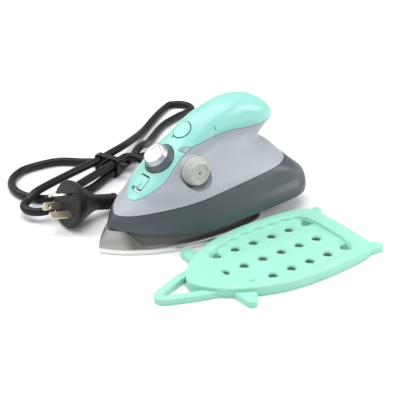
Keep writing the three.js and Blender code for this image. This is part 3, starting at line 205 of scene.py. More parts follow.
# %% [markdown]
# ## Cutting one solid with another
# Openings and splits are cut the way a toolmaker would think of them: one solid minus another. The
# Manifold solver of the Boolean modifier is quick and keeps closed solids closed. The result is
# written back to the mesh at once, so no modifier and no cutter is left in the scene.

# %% Cutting
def cut(target, operation, *shapes):
    """Apply a Boolean modifier for each shape or object in turn, and keep the mesh it gives."""
    for shape in shapes:
        whole = isinstance(shape, bpy.types.Object)
        cutter = shape if whole else mesh_object("cutter", shape)
        modifier = target.modifiers.new("cut", "BOOLEAN")
        modifier.operation, modifier.solver, modifier.object = operation, "MANIFOLD", cutter
        graph = bpy.context.evaluated_depsgraph_get()
        mesh = bpy.data.meshes.new_from_object(target.evaluated_get(graph))
        target.modifiers.clear()
        old, target.data = target.data, mesh
        bpy.data.meshes.remove(old)
        if not whole:
            bpy.data.objects.remove(cutter)
    return target

# %% [markdown]
# ## Colours and the nodes of a material
# Colours are written as the sRGB hex values that a designer would pick, and turned to the linear
# values that a renderer adds up. A pattern's scale comes from a real size in millimetres. One small
# function adds a node with its settings and fills its inputs.

# %% Colour and node helpers
def linear(code):
    """Each sRGB channel c becomes c / 12.92 below 0.04045, and ((c + 0.055) / 1.055)^2.4 above."""
    channels = [int(code[i:i + 2], 16) / 255 for i in (1, 3, 5)]
    return [c / 12.92 if c <= 0.04045 else ((c + 0.055) / 1.055) ** 2.4 for c in channels] + [1.0]


def per_size(size_mm):
    """A pattern scale that repeats about once in a size given in millimetres."""
    return 1 / (size_mm * MM)


def fill(owner, node, inputs):
    """Each input gets a plain value or a link, from a socket or from a node's first output."""
    for name, value in inputs.items():
        if isinstance(value, bpy.types.Node):
            value = value.outputs[0]
        if isinstance(value, bpy.types.NodeSocket):
            owner.node_tree.links.new(value, node.inputs[name])
        else:
            node.inputs[name].default_value = value


def add(owner, kind, inputs=None, **settings):
    """Add a node to a material or a world, set its properties and fill its inputs."""
    node = owner.node_tree.nodes.new("ShaderNode" + kind)
    for name, value in settings.items():
        setattr(node, name, value)
    fill(owner, node, inputs or {})
    return node


def new_material(name, **values):
    """A material with one Principled shader whose plain values are set on its own sockets, that
    shader, and the place of a point in Object coordinates."""
    material = bpy.data.materials.new(name)
    material.use_nodes = True
    shader = material.node_tree.nodes["Principled BSDF"]
    fill(material, shader, {label.replace("_", " "): value for label, value in values.items()})
    return material, shader, add(material, "TexCoord").outputs["Object"]


# %% [markdown]
# ## Moulded plastics
# The housing is ABS, injection moulded in a steel tool. The tool leaves two things that the eye
# reads as plastic: a faint unevenness of gloss from place to place, and a very fine grain where the
# tool was spark eroded. Both are noise on Object coordinates: a slow one of some centimetres for
# tone and gloss, and a fine one, drawn a little coarser than real grain so that it shows.

# %% Moulded plastic
def skin(name, tones, span, roughness, noise, grain, relief_mm, strength, **values):
    """Tone and roughness follow a noise between two close values, the tone over a span of it. The
    bump follows a grain, or the same noise where there is none."""
    material, shader, place = new_material(name, **values)
    slow = add(material, "TexNoise", {"Vector": place, **noise})
    fine = add(material, "TexNoise", {"Vector": place, **grain}) if grain else slow
    tone = add(material, "ValToRGB", {"Fac": slow})
    for stop, position, code in zip(tone.color_ramp.elements, span, tones[::-1]):
        stop.position, stop.color = position, linear(code)
    gloss = add(material, "MapRange", {
        "Value": slow, "From Min": span[0], "From Max": 0.7,
        "To Min": roughness[0], "To Max": roughness[1]})
    bump = add(material, "Bump", {
        "Height": fine, "Distance": relief_mm * MM, "Strength": strength})
    fill(material, shader, {"Base Color": tone, "Roughness": gloss, "Normal": bump})
    return material


def moulded_plastic(name, light, dark, roughness, grain_mm, grain_depth_mm, **values):
    """A skin with unevenness over 45 mm and a fine grain of a given size and depth."""
    return skin(name, (light, dark), (0.3, 0.7), roughness,
                {"Scale": per_size(45), "Detail": 2.0},
                {"Scale": per_size(grain_mm), "Detail": 3.0}, grain_depth_mm, 1.0, **values)


slot_materials = {
    "mint_plastic": moulded_plastic(
        "mint_satin_abs", "#94d4c7", "#8accbe", (0.3, 0.38), 1.2, 0.012,
        Coat_Weight=0.35, Coat_Roughness=0.3),
    "grey_plastic": moulded_plastic(
        "grey_spark_grained_abs", "#a6aaaf", "#9fa3a9", (0.42, 0.5), 0.7, 0.02),
    "dark_plastic": moulded_plastic(
        "dark_heatproof_phenolic", "#474e52", "#3f4549", (0.36, 0.44), 0.8, 0.015),
    "white_plastic": moulded_plastic(
        "white_gloss_abs", "#f3f3f0", "#ebebe8", (0.25, 0.32), 1.5, 0.008, Coat_Weight=0.3),
    "milky_plastic": moulded_plastic(
        "milky_polypropylene", "#b6b6af", "#aaaaa3", (0.3, 0.38), 1.5, 0.012,
        Subsurface_Weight=0.25, Subsurface_Scale=0.004),
    "lamp_lens": moulded_plastic(
        "smoked_polycarbonate", "#8ba6a6", "#7d9999", (0.12, 0.18), 3.0, 0.004,
        Coat_Weight=0.6, Coat_Roughness=0.05)}
collar_plastic = moulded_plastic(
    "dark_collar_plastic", "#5c6266", "#52585c", (0.28, 0.36), 1.0, 0.01)
print("slots with a plastic:", list(slot_materials))

# %% [markdown]
# ## Rubber and silicone
# The cord's sheath and plug are soft black PVC, drawn or moulded, with a dull skin and small
# scuffs. The rest is cast silicone: matt, slightly waxy, with light that enters a little way and
# leaves again. Subsurface scattering gives the silicone its soft edges, and a weak sheen the look
# of fine dust that silicone always has.

# %% Black PVC, nylon and mint silicone
def soft_skin(name, light, dark, roughness, scuff_mm, **values):
    """A dull skin whose tone, gloss and bump all follow one noise of the scuffs' size."""
    return skin(name, (light, dark), (0.35, 0.68), roughness,
                {"Scale": per_size(scuff_mm), "Detail": 4.0, "Roughness": 0.6}, None, 0.03, 0.8,
                **values)


slot_materials["black_rubber"] = soft_skin(
    "black_drawn_pvc", "#17171a", "#0f0f12", (0.32, 0.45), 3.0, Specular_IOR_Level=0.3)
plug_pvc = soft_skin(
    "black_moulded_pvc", "#1b1b1f", "#131316", (0.32, 0.42), 2.2, Specular_IOR_Level=0.3)
slot_materials["black_plastic"] = soft_skin(
    "black_nylon_strap", "#18181b", "#101013", (0.45, 0.6), 1.2)
slot_materials["mint_silicone"] = soft_skin(
    "mint_cast_silicone", "#9cdcc4", "#97d8bf", (0.5, 0.6), 6.0,
    Subsurface_Weight=0.2, Subsurface_Scale=0.006, Sheen_Weight=0.15, Sheen_Roughness=0.4)
print("slots with a skin so far:", len(slot_materials))

# %% [markdown]
# ## Metals
# The sole is die cast aluminium. Its lower rim is polished with the face, and the cove above it
# stays as cast, so one material changes with height: smooth and bright below, duller and darker
# above, with fine polishing lines along the sole. The cast metal is only a little greyer; most of
# the darkness above the rim is painted shade, where the skirt overhangs the cove. The nose of the
# casting gets only about half of that painted shade and lies between the two in finish.
# The ring of the dial is plated and satin, the small parts inside are plain steel, and the blades
# of the plug are brass under a thin coat of nickel.

# %% The casting changes from polished to cast, with painted shade in the cove
polished_height_mm = 4.4
sole_aluminium, sole_shader, place = new_material("die_cast_aluminium", Metallic=1.0)
axes = add(sole_aluminium, "SeparateXYZ", {"Vector": place})
above = add(sole_aluminium, "MapRange", {
    "Value": axes.outputs["Z"], "From Min": polished_height_mm * MM,
    "From Max": (polished_height_mm + 0.6) * MM})
# Painted shade: behind the nose, the cove above the rim is darkened where the skirt overhangs it;
# at the nose only 0.55 of it is laid on.
painted_shade_and_finish_behind_nose = add(sole_aluminium, "MapRange", {
    "Value": axes.outputs["Y"], "From Min": -60 * MM, "From Max": -54 * MM, "To Min": 0.55})
# This mask lays on the cast finish and the painted shade of the cove together.
as_cast_and_painted_shade = add(sole_aluminium, "Math", {0: above, 1: painted_shade_and_finish_behind_nose}, operation="MULTIPLY")
cast = add(sole_aluminium, "TexNoise", {"Vector": place, "Scale": per_size(1.5), "Detail": 4.0})
stretched = add(sole_aluminium, "Mapping", {"Vector": place, "Scale": (1.0, 0.025, 1.0)})
lines = add(sole_aluminium, "TexNoise", {
    "Vector": stretched, "Scale": per_size(0.8), "Detail": 2.0})
# The dark tone #75736e is partly the greyer cast metal and mostly painted shade of the cove under
# the skirt.
tone = add(sole_aluminium, "Mix", {
    0: as_cast_and_painted_shade, 6: linear("#dcdad4"), 7: linear("#75736e")}, data_type="RGBA")
gloss = add(sole_aluminium, "MapRange", {"Value": as_cast_and_painted_shade, "To Min": 0.24, "To Max": 0.5})
relief = add(sole_aluminium, "Mix", {0: as_cast_and_painted_shade, 2: lines, 3: cast}, data_type="FLOAT")
bump = add(sole_aluminium, "Bump", {"Height": relief, "Distance": 0.02 * MM, "Strength": 0.6})
fill(sole_aluminium, sole_shader, {
    "Base Color": tone.outputs[2], "Roughness": gloss, "Normal": bump})
print("nodes of the casting's material:", len(sole_aluminium.node_tree.nodes))


# %% Plated ring, steel and brass
def plain_metal(name, code, roughness, grain_mm):
    """A metal with a fine even grain in its bump and a small change of roughness with it."""
    material, shader, place = new_material(name, Metallic=1.0, Base_Color=linear(code))
    grain = add(material, "TexNoise", {"Vector": place, "Scale": per_size(grain_mm), "Detail": 3.0})
    gloss = add(material, "MapRange", {
        "Value": grain, "To Min": roughness * 0.8, "To Max": roughness * 1.2})
    bump = add(material, "Bump", {"Height": grain, "Distance": 0.01 * MM, "Strength": 0.5})
    fill(material, shader, {"Roughness": gloss, "Normal": bump})
    return material


slot_materials.update({
    "cast_aluminium": sole_aluminium,
    "bright_trim": plain_metal("satin_plated_ring", "#b9bbc0", 0.42, 1.0),
    "steel": plain_metal("drawn_steel", "#b4b6b8", 0.35, 0.8),
    "brass": plain_metal("nickel_plated_brass", "#dcd3b8", 0.25, 0.9)})
print("slots with a material:", len(slot_materials))

# %% [markdown]
# ## Who wears which material
# The inner parts keep their CAD meshes, because nothing of them shows from a step away. Each one
# takes the material that its slot in the record names. A piece made here takes the material of its
# slot as well, unless it is given one of its own.

# %% Materials for the nodes that stay, and the finish of a new piece
for entry in frame["record"]["subparts"]:
    node = frame["nodes"][entry["node"]]
    node.data.materials.clear()
    node.data.materials.append(slot_materials[entry["material_slot"]])


def finish_piece(thing, body, slot, angle, *nodes, material=None):
    """Shade a piece smooth, but sharp where its faces meet at more than an angle, give it its
    material, hang it on the body it rides, and hide the CAD nodes that it stands in for."""
    thing.data.shade_smooth()
    thing.data.set_sharp_from_angle(angle=math.radians(angle))
    thing.data.materials.clear()
    thing.data.materials.append(material or slot_materials[slot])
    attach(thing, body)
    if nodes:
        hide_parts(*nodes)
    print(thing.name, "faces:", len(thing.data.polygons))
    return thing


# %% [markdown]
# ## The mains cord comes first
# The lead leaves the skirt on the far side, comes down to the table, lies in a small coil, and runs
# on into a bundle of three petals under a strap. The plug lies beside the sole. A real cord is one
# length of extruded sheath, 7 mm thick, so here it is one tube along one line. The line goes
# through the points that the CAD uses for its separate stretches.

# %% Frames, smooth lines and tubes
def turn(axis, degrees, origin=(0.0, 0.0, 0.0)):
    """A 4 x 4 matrix that turns about X, Y or Z (0, 1 or 2) and then moves to an origin."""
    cosine, sine = math.cos(math.radians(degrees)), math.sin(math.radians(degrees))
    first, second = (axis + 1) % 3, (axis + 2) % 3
    matrix = np.eye(4)
    matrix[first, first] = matrix[second, second] = cosine
    matrix[first, second], matrix[second, first] = -sine, sine
    matrix[:3, 3] = origin
    return matrix


def catmull_rom(before, p, q, after, t):
    """The curve from p to q: p + t m + t^2 (3 d - 2 m - n) + t^3 (m + n - 2 d), with d = q - p,
    and m and n half the step between the neighbours of p and of q."""
    step, leave, arrive = q - p, (q - before) / 2, (after - p) / 2
    return (p + t * leave + t ** 2 * (3 * step - 2 * leave - arrive)
            + t ** 3 * (leave + arrive - 2 * step))


def smooth_line(points, spacing):
    """A Catmull-Rom curve through points, sampled again at equal steps of its length."""
    points = np.asarray(points, float)
    line = np.vstack([2 * points[0] - points[1], points, 2 * points[-1] - points[-2]])
    t = np.linspace(0, 1, 32, endpoint=False)[:, None, None]
    curve = catmull_rom(line[:-3], line[1:-2], line[2:-1], line[3:], t)
    curve = np.vstack([curve.transpose(1, 0, 2).reshape(-1, points.shape[1]), points[-1:]])
    along = np.concatenate([[0], np.cumsum(np.linalg.norm(np.diff(curve, axis=0), axis=1))])
    places = np.linspace(0, along[-1], max(int(round(along[-1] / spacing)), 2) + 1)
    return np.stack([np.interp(places, along, values) for values in curve.T], axis=1)


def carried(line, section):
    """A flat section carried along a line that never stands upright. With the line's direction d,
    side s = d x Z and upright u = s x d, each section point (a, b) becomes line + a s + b u."""
    direction = np.gradient(line, axis=0)
    direction = direction / np.linalg.norm(direction, axis=1, keepdims=True)
    side = np.cross(direction, [0.0, 0.0, 1.0])
    side = side / np.linalg.norm(side, axis=1, keepdims=True)
    upright = np.cross(side, direction)
    a, b = np.asarray(section)[None, :, :1], np.asarray(section)[None, :, 1:]
    return grid_shape(line[:, None] + a * side[:, None] + b * upright[:, None])


# %% Lead and coil, from the skirt to the table
cord_width = 7.0
floor_z = cord_width / 2 + 0.3
layer_rise = cord_width + 0.8
exit_place = turn(2, -45, (-38, 77, 35.5)) @ turn(1, -90)
relief_length, relief_neck, relief_flange = 26.0, 6, 7.5
plug_place = turn(0, 90 - 14.7, (-50.9, -23.9, 8.2))


def on_axis(place, distance):
    """A point on the Z axis of a frame."""
    return place[:3, 3] + distance * place[:3, 2]


def beyond(inner, end, distance):
    """A point past an end, in line with the point before it."""
    return end + (end - inner) * distance / np.linalg.norm(end - inner)


turns, start_degrees, coil_radius, coil_x, coil_y = 3.208, 105, 36.0, -84, 102
turn_share = np.arange(0, turns * 20 + 1) / 20
wound_radius = coil_radius - layer_rise * (turns / 2 - np.abs(turn_share - turns / 2))
wound_angle = math.radians(start_degrees) + turn_share * 2 * math.pi
crossover = np.clip((turn_share - turns / 2) * 2 + 0.5, 0, 1)
coil = np.stack([
    coil_x + wound_radius * np.cos(wound_angle), coil_y + wound_radius * np.sin(wound_angle),
    floor_z + layer_rise * (1 - crossover ** 2 * (3 - 2 * crossover))], axis=1)
lead = [on_axis(exit_place, d) for d in (18, relief_length, relief_length + cord_width)]
lead += [(-66, 110, 33), (-67.5, 123, 27), (-70, 134, 20.5), (-76, 140, 14.5)]
lead += [beyond(coil[1], coil[0], d) for d in (2 * cord_width, cord_width)]
print("turns of the coil:", turns, "points:", len(lead) + len(coil))

# %% The bundle, in its own directions along and aside, and the whole line
bundle_degrees = 19.9
bundle_place = turn(2, bundle_degrees, (-113.6, 14.1, 0))


def in_bundle(places):
    """Places of the bundle: along its lanes, which is Y of its frame, aside across them, which is
    -X, and up."""
    along, aside, z = np.array(places, float).T
    return np.stack([-aside, along, z], axis=1) @ bundle_place[:3, :3].T + bundle_place[:3, 3]


def flat(*places):
    """Places on the table, from pairs of along and aside."""
    return [(along, aside, floor_z) for along, aside in places]


def fold(along, aside, radius, start, end, steps, z=floor_z):
    """The round end of a petal, as an arc about a centre."""
    angle = np.radians(np.linspace(start, end, steps + 1))
    return [(along + radius * math.cos(a), aside + radius * math.sin(a), z) for a in angle]


lane, low_lane = 7.6, 5.2
top_lane, cross_z = low_lane + layer_rise, floor_z + layer_rise
bundle = in_bundle([
    *flat((45, -14), (38, -11), (22, 0), (8, 13), (-3, 29), (-15, 50)),
    *fold(-48, 29, 35, 75, 250, 7),
    (-42, -9.5, floor_z), (-20, -8, floor_z + 0.6), (-5, -lane, low_lane), (8, -lane, low_lane),
    (20, -8, 8), (32, -6.6, cross_z + 0.4), (45, -3.5, cross_z - 1), (58, 1, 6),
    *flat((72, 6.5), (104, 15), (132, 15.5)),
    *fold(148, 26, 14, -80, 80, 6),
    *flat((122, 34.5), (84, 24)), (52, 14.5, 8.4), (28, 8.4, cross_z + 0.6),
    (8, lane, top_lane), (-5, lane, top_lane), (-18, 9.5, top_lane - 0.5),
    (-45, 13.5, cross_z + 0.2), (-70, 15.5, cross_z + 0.2), (-86, 15.5, cross_z),
    *fold(-96, 2.5, 12.5, 90, 270, 5, 8.4),
    (-82, -9, cross_z - 0.5), (-60, -7, cross_z + 0.2), (-40, -6.6, cross_z + 0.3),
    (-18, -lane, top_lane - 0.4), (-5, -lane, top_lane), (3, -8.6, top_lane + 0.2)])
run = [beyond(coil[-2], coil[-1], d) for d in (cord_width, 2 * cord_width)]
run += [(-118.5, 84, floor_z), (-116.5, 72, floor_z), beyond(bundle[1], bundle[0], cord_width)]
tail = [beyond(bundle[-2], bundle[-1], cord_width)]
tail += [*in_bundle([(15, -17, 12.5), (15, -28, 8), (6, -38, floor_z + 0.4), (-9, -50, floor_z)])]
tail += [(-54, 4, floor_z + 0.2), on_axis(plug_place, -cord_width), on_axis(plug_place, 3.0)]
cord_line = smooth_line(np.vstack([lead, coil, run, bundle, tail]), 1.6)

# %% [markdown]
# ## Relief, strap and plug
# Where a cord leaves a housing it wears out first, so a tapered rubber relief with ribs spreads the
# bend. The strap is a flat nylon band with a loose end. The plug is moulded straight onto the cord,
# with ribs that do the same work as the relief, and its three blades are stamped from brass strip.

# %% Cord and relief
rim = around(20)
sheath = cord_width / 2 * np.stack([np.cos(rim), -np.sin(rim)], axis=1)
mains_cord = mesh_object("mains_cord", carried(cord_line, sheath))
finish_piece(mains_cord, "base", "black_rubber", 32,
             "cord_lead", "cord_coil", "cord_run", "cord_hank", "cord_tail")

relief = [[0, -9.8], [relief_flange, -9.8], [relief_flange, -7.8], [relief_neck, -7.8],
          [relief_neck, 3.2]]
for share in np.arange(1, 6) / 5:
    rib, top = relief_neck - 1.6 * share, 2.6 + (relief_length - 2.6) * share
    relief += [[rib, top - 1.5], [rib - 0.9, top - 1.3], [rib - 0.9, top - 0.5], [rib, top - 0.3]]
relief += [[4.2, relief_length], [0, relief_length]]
relief_shape = placed(turned(softened(relief, 0.35), 72), exit_place)
finish_piece(mesh_object("cord_relief", relief_shape), "base", "black_rubber", 50, "cord_bushing")


# %% Strap
def rounded_box(half_width, low, high, corner, steps=8):
    """A rounded rectangle, counterclockwise, as quarter circles joined by straight sides."""
    angle = np.radians(np.linspace(0, 90, steps + 1))
    x, bottom, top = half_width - corner, low + corner, high - corner
    corners = ((x, top, 0), (-x, top, 90), (-x, bottom, 180), (x, bottom, 270))
    return np.vstack([np.stack([
        x + corner * np.cos(angle + math.radians(start)),
        y + corner * np.sin(angle + math.radians(start))], axis=1) for x, y, start in corners])


strap_thick, strap_half_width, strap_gap, strap_edge = 1.2, 3.0, 0.4, 0.35
strap_half = lane + cord_width / 2 + strap_gap
strap_top = top_lane + cord_width / 2 + strap_gap
outer_loop = rounded_box(strap_half + strap_thick, 0, strap_top + strap_thick, 3.6)
inner_loop = rounded_box(strap_half, strap_thick, strap_top, 2.4)
near_edge = strap_half_width - strap_edge
hoop = np.stack([
    np.insert(outer_loop + (inner_loop - outer_loop) * inwards, 1, across, axis=1)
    for inwards, across in (
        (0, -near_edge), (0, near_edge), (0.25, strap_half_width), (0.75, strap_half_width),
        (1, near_edge), (1, -near_edge), (0.75, -strap_half_width), (0.25, -strap_half_width))])
strap_place = bundle_place @ turn(2, 0, (0, -5, 0))
strap = mesh_object("bundle_strap", placed(grid_shape(hoop, ring=True), strap_place))
end_near, end_far, end_z = strap_half + 0.6, strap_half + 9, strap_top - 4
loose_end = softened(rectangle(end_near, end_far, -strap_half_width, strap_half_width), 2.0,
                     closed=True)
cut(strap, "UNION", placed(prism(loose_end, end_z, end_z + strap_thick, "xy"), strap_place))
finish_piece(strap, "base", "black_plastic", 32, "cord_tie")

# %% The plug and its blades
plug_neck, plug_face = 20.0, 47.0
plug_profile = [[0, 0], [6.4, 0], [7.1, 0.6], [7.1, 2.4], [6.4, 3.0]]
for low in 3.4 + 2.7 * np.arange(6):
    plug_profile += [[5.2, low + 0.1], [5.2, low + 0.9], [6.6, low + 1.2], [6.6, low + 2.3]]
plug_profile += [[radius, plug_neck + rise] for radius, rise in (
    (6.7, 0), (7.4, 2.5), (9.6, 7), (13.6, 14), (16.4, 18.5), (17.2, 20), (17.2, 21.2),
    (18.4, 22.4), (19.25, 23.6), (19.25, 26), (18.4, 27), (0, 27))]
plug = mesh_object("mains_plug", placed(turned(softened(plug_profile, 0.8, 5), 120), plug_place))
half_width, half_thickness, hole_radius = 3.17, 0.81, 1.6
for name, reach, direction, lean, length in (
        ("left", 7.92, 210, 90, 17.1), ("right", 7.92, 90, 30, 17.1),
        ("earth", 10.31, 330, 150, 19.9)):
    x, y = reach * math.cos(math.radians(direction)), reach * math.sin(math.radians(direction))
    seat = plug_place @ turn(2, lean, (x, y, plug_face))
    side = softened(rectangle(-half_width, half_width, 0.3, length), 1.2, 5, closed=True)
    blade = mesh_object(f"plug_blade_pin_{name}", placed(
        prism(side, -half_thickness, half_thickness, "xz"), seat))
    if name != "earth":
        cut(blade, "DIFFERENCE", placed(
            rod(hole_radius, -3, 3, 32), seat @ turn(0, 90, (0, 0, length - 5))))
    finish_piece(blade, "base", "brass", 32, f"plug_blade_{name}")
finish_piece(plug, "base", "black_rubber", 40, "plug_body", material=plug_pvc)

# %% [markdown]
# ## The housing
# The housing is the hardest part of a real iron to draw. Its outline is different at every height:
# a pointed boat at the skirt, a narrow waist, and a palm-shaped handle on top. A designer pulls a
# surface over a few plan outlines, and that is done here too. A table gives fourteen of them as
# shares of the body's size, and a smooth curve through each column of the table gives the rest.

# %% The table of outlines
body_length, body_half, body_height, nose_y = 179.5, 44.5, 99.0, -63.0
wall, seam = 2.6, 0.5
# Height, nose, tail, half widths at front, middle and rear, nose reach and bluntness, tail's two
level_shares = np.array([
    [0.081, 0, 0.989, 1, 1, 1, 0.5, 1.3, 0.17, 4],
    [0.192, 0, 1.006, 0.978, 0.989, 0.978, 0.49, 1.35, 0.17, 4],
    [0.283, 0.037, 1.004, 0.91, 0.933, 0.86, 0.45, 1.6, 0.17, 4],
    [0.374, 0.111, 0.948, 0.809, 0.861, 0.86, 0.38, 1.9, 0.18, 3.8],
    [0.455, 0.156, 0.905, 0.685, 0.775, 0.765, 0.3, 2.3, 0.25, 3],
    [0.535, 0.204, 0.866, 0.551, 0.629, 0.576, 0.22, 2.6, 0.32, 2.5],
    [0.616, 0.254, 0.815, 0.479, 0.461, 0.38, 0.18, 2.6, 0.34, 2.2],
    [0.697, 0.308, 0.866, 0.449, 0.315, 0.301, 0.18, 2.6, 0.32, 2.2],
    [0.758, 0.351, 0.893, 0.418, 0.319, 0.352, 0.22, 2.5, 0.3, 2.2],
    [0.828, 0.399, 0.879, 0.389, 0.373, 0.391, 0.28, 2.3, 0.34, 2.2],
    [0.899, 0.454, 0.839, 0.319, 0.354, 0.361, 0.34, 2.1, 0.38, 2.1],
    [0.955, 0.518, 0.789, 0.22, 0.283, 0.258, 0.4, 2, 0.45, 2],
    [0.99, 0.585, 0.742, 0.112, 0.161, 0.131, 0.45, 2, 0.5, 2],
    [1, 0.652, 0.674, 0.013, 0.013, 0.013, 0.5, 2, 0.5, 2]])
last_level = len(level_shares) - 1


def levels(steps):
    """Table rows at any steps between the rows, on the same kind of curve as the lines."""
    steps = np.atleast_1d(np.asarray(steps, float))
    index = np.clip(steps.astype(int), 0, last_level - 1)
    rows = (level_shares[np.clip(index + move, 0, last_level)] for move in (-1, 0, 1, 2))
    return catmull_rom(*rows, (steps - index)[:, None])


def spread(sides):
    """Shares from 0 to 1 that lie closer together at both ends: (1 - cos a) / 2."""
    return (1 - np.cos(np.linspace(0, math.pi, sides + 1))) / 2


def both_sides(x, y, z):
    """A closed outline made of its right half, from tip to tail, and the mirror image of it."""
    right = np.stack(np.broadcast_arrays(x, y, z), axis=-1)
    return np.concatenate([right, right[..., -2:0:-1, :] * [-1, 1, 1]], axis=-2)


def body_rings(rows, inset=0.0, sides=96):
    """One closed outline for each table row. At share s of the length, the half width is the
    blend of front, middle and rear, times (1 - n^2.3)^(1 / blunt) for the nose and
    (1 - r^2.4)^(1 / blunt) for the tail, where n and r run from 1 at the tip to 0 inside."""
    height, nose, tail, front, middle, rear, reach, blunt, tail_reach, tail_blunt = (
        rows[:, k, None] for k in range(10))
    share = spread(sides)[None, :]
    forward, backward = (s ** 2 * (3 - 2 * s) for s in (
        np.clip(share * 2, 0, 1), np.clip(share * 2 - 1, 0, 1)))
    base = np.where(share < 0.5, front + (middle - front) * forward,
                    middle + (rear - middle) * backward)
    bow = (1 - (1 - np.minimum(share / reach, 1)) ** 2.3) ** (1 / blunt)
    stern = (1 - (1 - np.minimum((1 - share) / tail_reach, 1)) ** 2.4) ** (1 / tail_blunt)
    widest = rows[:, 3:6].max(axis=1, keepdims=True) * body_half
    start = nose_y + nose * body_length + inset
    end = np.maximum(nose_y + tail * body_length - inset, start + 1e-4)
    return both_sides(base * body_half * bow * stern * np.maximum(1 - inset / widest, 0),
                      start + share * (end - start), height * body_height)


def body_shape(inset=0.0, drop=0.0, per_row=8, sides=96):
    """The whole outer form, or one drawn in by an inset and let down below the skirt."""
    rows = levels(np.linspace(0, last_level, last_level * per_row + 1))
    rows = rows[rows[:, 3:6].max(axis=1) * body_half > inset + 0.5]
    rings = body_rings(rows, inset, sides)
    return grid_shape(np.concatenate([rings[:1] - [0, 0, drop], rings]) if drop else rings)


def shifted(shape, offset):
    return shape[0] + offset, shape[1]


outer_form = body_shape()
print("outer form points:", len(outer_form[0]))

# %% [markdown]
# ## Splitting the housing along its seams
# The housing is moulded in three pieces: a mint cover, a grey shell and a dark heat-proof skirt.
# Each seam is one curve in side view, and each piece is what lies between two such curves. Half a
# millimetre is left open, as a real tool maker leaves, so the seams read as thin dark lines.

# %% Seam lines and the hollow form
lower_edge = [[-0.1, 0.2], [0, 0.187], [0.156, 0.156], [0.34, 0.131], [0.524, 0.127],
              [0.724, 0.13], [1.058, 0.155]]
skirt_seam = [[-0.1, 0.235], [0.025, 0.275], [0.189, 0.335], [0.39, 0.377], [0.546, 0.399],
              [0.713, 0.421], [0.836, 0.442], [0.94, 0.46], [1.1, 0.495]]
cover_seam = [[-0.1, 0.285], [0.022, 0.317], [0.1, 0.364], [0.134, 0.396], [0.173, 0.451],
              [0.228, 0.522], [0.284, 0.614], [0.329, 0.682], [0.373, 0.728], [0.412, 0.749],
              [0.457, 0.762], [0.524, 0.774], [0.607, 0.766], [0.691, 0.752], [0.78, 0.749],
              [0.919, 0.761]]


def side_of(shares, shift, upwards):
    """Everything above or below a seam, moved up by a shift, as a cutter across the iron."""
    line = smooth_line(np.array(shares) * [body_length, body_height] + [nose_y, 0], 1.5)
    line = line + [0, shift]
    end = body_height + 1 if upwards else -1
    return prism(np.vstack([line, [line[-1, 0], end], [line[0, 0], end]]),
                 -body_half - 1, body_half + 1)


inner_form = body_shape(wall, 4 * wall, 2, 48)
room = cut(mesh_object("room", shifted(inner_form, [0, 0, -wall])), "INTERSECT",
           shifted(inner_form, [0, 0, wall]))
walls = cut(mesh_object("walls", outer_form), "DIFFERENCE", room)


def from_walls(name, *cutters):
    """A piece with its own copy of the walls' mesh, cut to what it shares with every cutter."""
    made = bpy.data.objects.new(name, walls.data.copy())
    bpy.context.scene.collection.objects.link(made)
    return cut(made, "INTERSECT", *cutters)


below_cover = side_of(cover_seam, -seam / 2, False)
skirt = from_walls("heatproof_skirt", side_of(skirt_seam, -seam / 2, False),
                   side_of(lower_edge, 0, True))
shell = from_walls("grey_shell", below_cover, side_of(skirt_seam, seam / 2, True))
cover = from_walls("mint_cover", side_of(cover_seam, seam / 2, True))
print("faces of skirt, shell, cover:", *(len(t.data.polygons) for t in (skirt, shell, cover)))

# %% [markdown]
# ## The controls, and the openings they sit in
# Each control is set square to the surface under it, so it gets a frame of its own: X across the
# iron, Y up the slope of the front ridge, and Z straight out. The dial sits in a round cup, the
# steam button is cut from the cover's own surface, and the filler flap closes a square opening.

# %% Frames on the front ridge
def level_at(z):
    """The table row whose outline lies at a height, found between finely spaced rows."""
    steps = np.linspace(0, last_level, 4000)
    return levels(np.interp(z, levels(steps)[:, 0] * body_height, steps))


def ridge_frame(height_share):
    """A frame on the ridge, with Y from a place a little lower to one a little higher."""
    z, reach = height_share * body_height, 0.015 * body_height
    low, middle, high = (level_at(z + move)[0, 1] * body_length for move in (-reach, 0, reach))
    slope = math.degrees(math.atan2(2 * reach, high - low))
    return turn(0, slope, (0, nose_y + middle, z))


dial_place, button_place, flap_place = (ridge_frame(share) for share in (0.641, 0.824, 0.47))
knob_foot_x = 22
knob_place = turn(1, 90, (knob_foot_x, nose_y + 0.365 * body_length, 0.571 * body_height))
lens_place = turn(0, 14, (0, nose_y + 0.356 * body_length, 0.725 * body_height))
print("dial at", dial_place[:3, 3].round(2), "knob at", knob_place[:3, 3].round(2))

# %% Cup of the dial, sleeve of the button, opening of the flap
dial_radius, dial_rise, dial_sink, spindle_hole = 13.0, 8.5, 2.6, 2.8
cup_radius, cup_depth = dial_radius + 0.5, dial_sink + 0.5
cup_foot = -cup_depth - wall
cup = cut(mesh_object("cup", placed(
    rod(cup_radius + wall, cup_foot, dial_rise, 128), dial_place)), "INTERSECT", outer_form)
cup_inside = turned(softened([
    [0, cup_foot - 1], [spindle_hole, cup_foot - 1], [spindle_hole, -cup_depth],
    [cup_radius, -cup_depth], [cup_radius, dial_rise], [0, dial_rise]], 0.3), 128)
button_radius, button_proud = 7.3, 0.6
sleeve_radius, sleeve_foot, outside = button_radius + 0.9, -12, 6
sleeve = cut(mesh_object("sleeve", placed(
    rod(sleeve_radius + wall / 2, sleeve_foot, outside, 96), button_place)),
    "INTERSECT", outer_form)
flap_half, flap_gap, barrel, pin_radius = 5.5, 0.45, 1.4, 0.9
pin_y = flap_half + barrel
opening_half = flap_half + flap_gap
opening_outline = rectangle(-opening_half, opening_half, -opening_half, pin_y + barrel + 0.9)
flap_opening = prism(softened(opening_outline, 2.2, 6, closed=True), -6.6, 4, "xy")
pin_hole = placed(rod(pin_radius, -7.4, 7.4, 24), turn(1, 90, (0, pin_y, -barrel)))

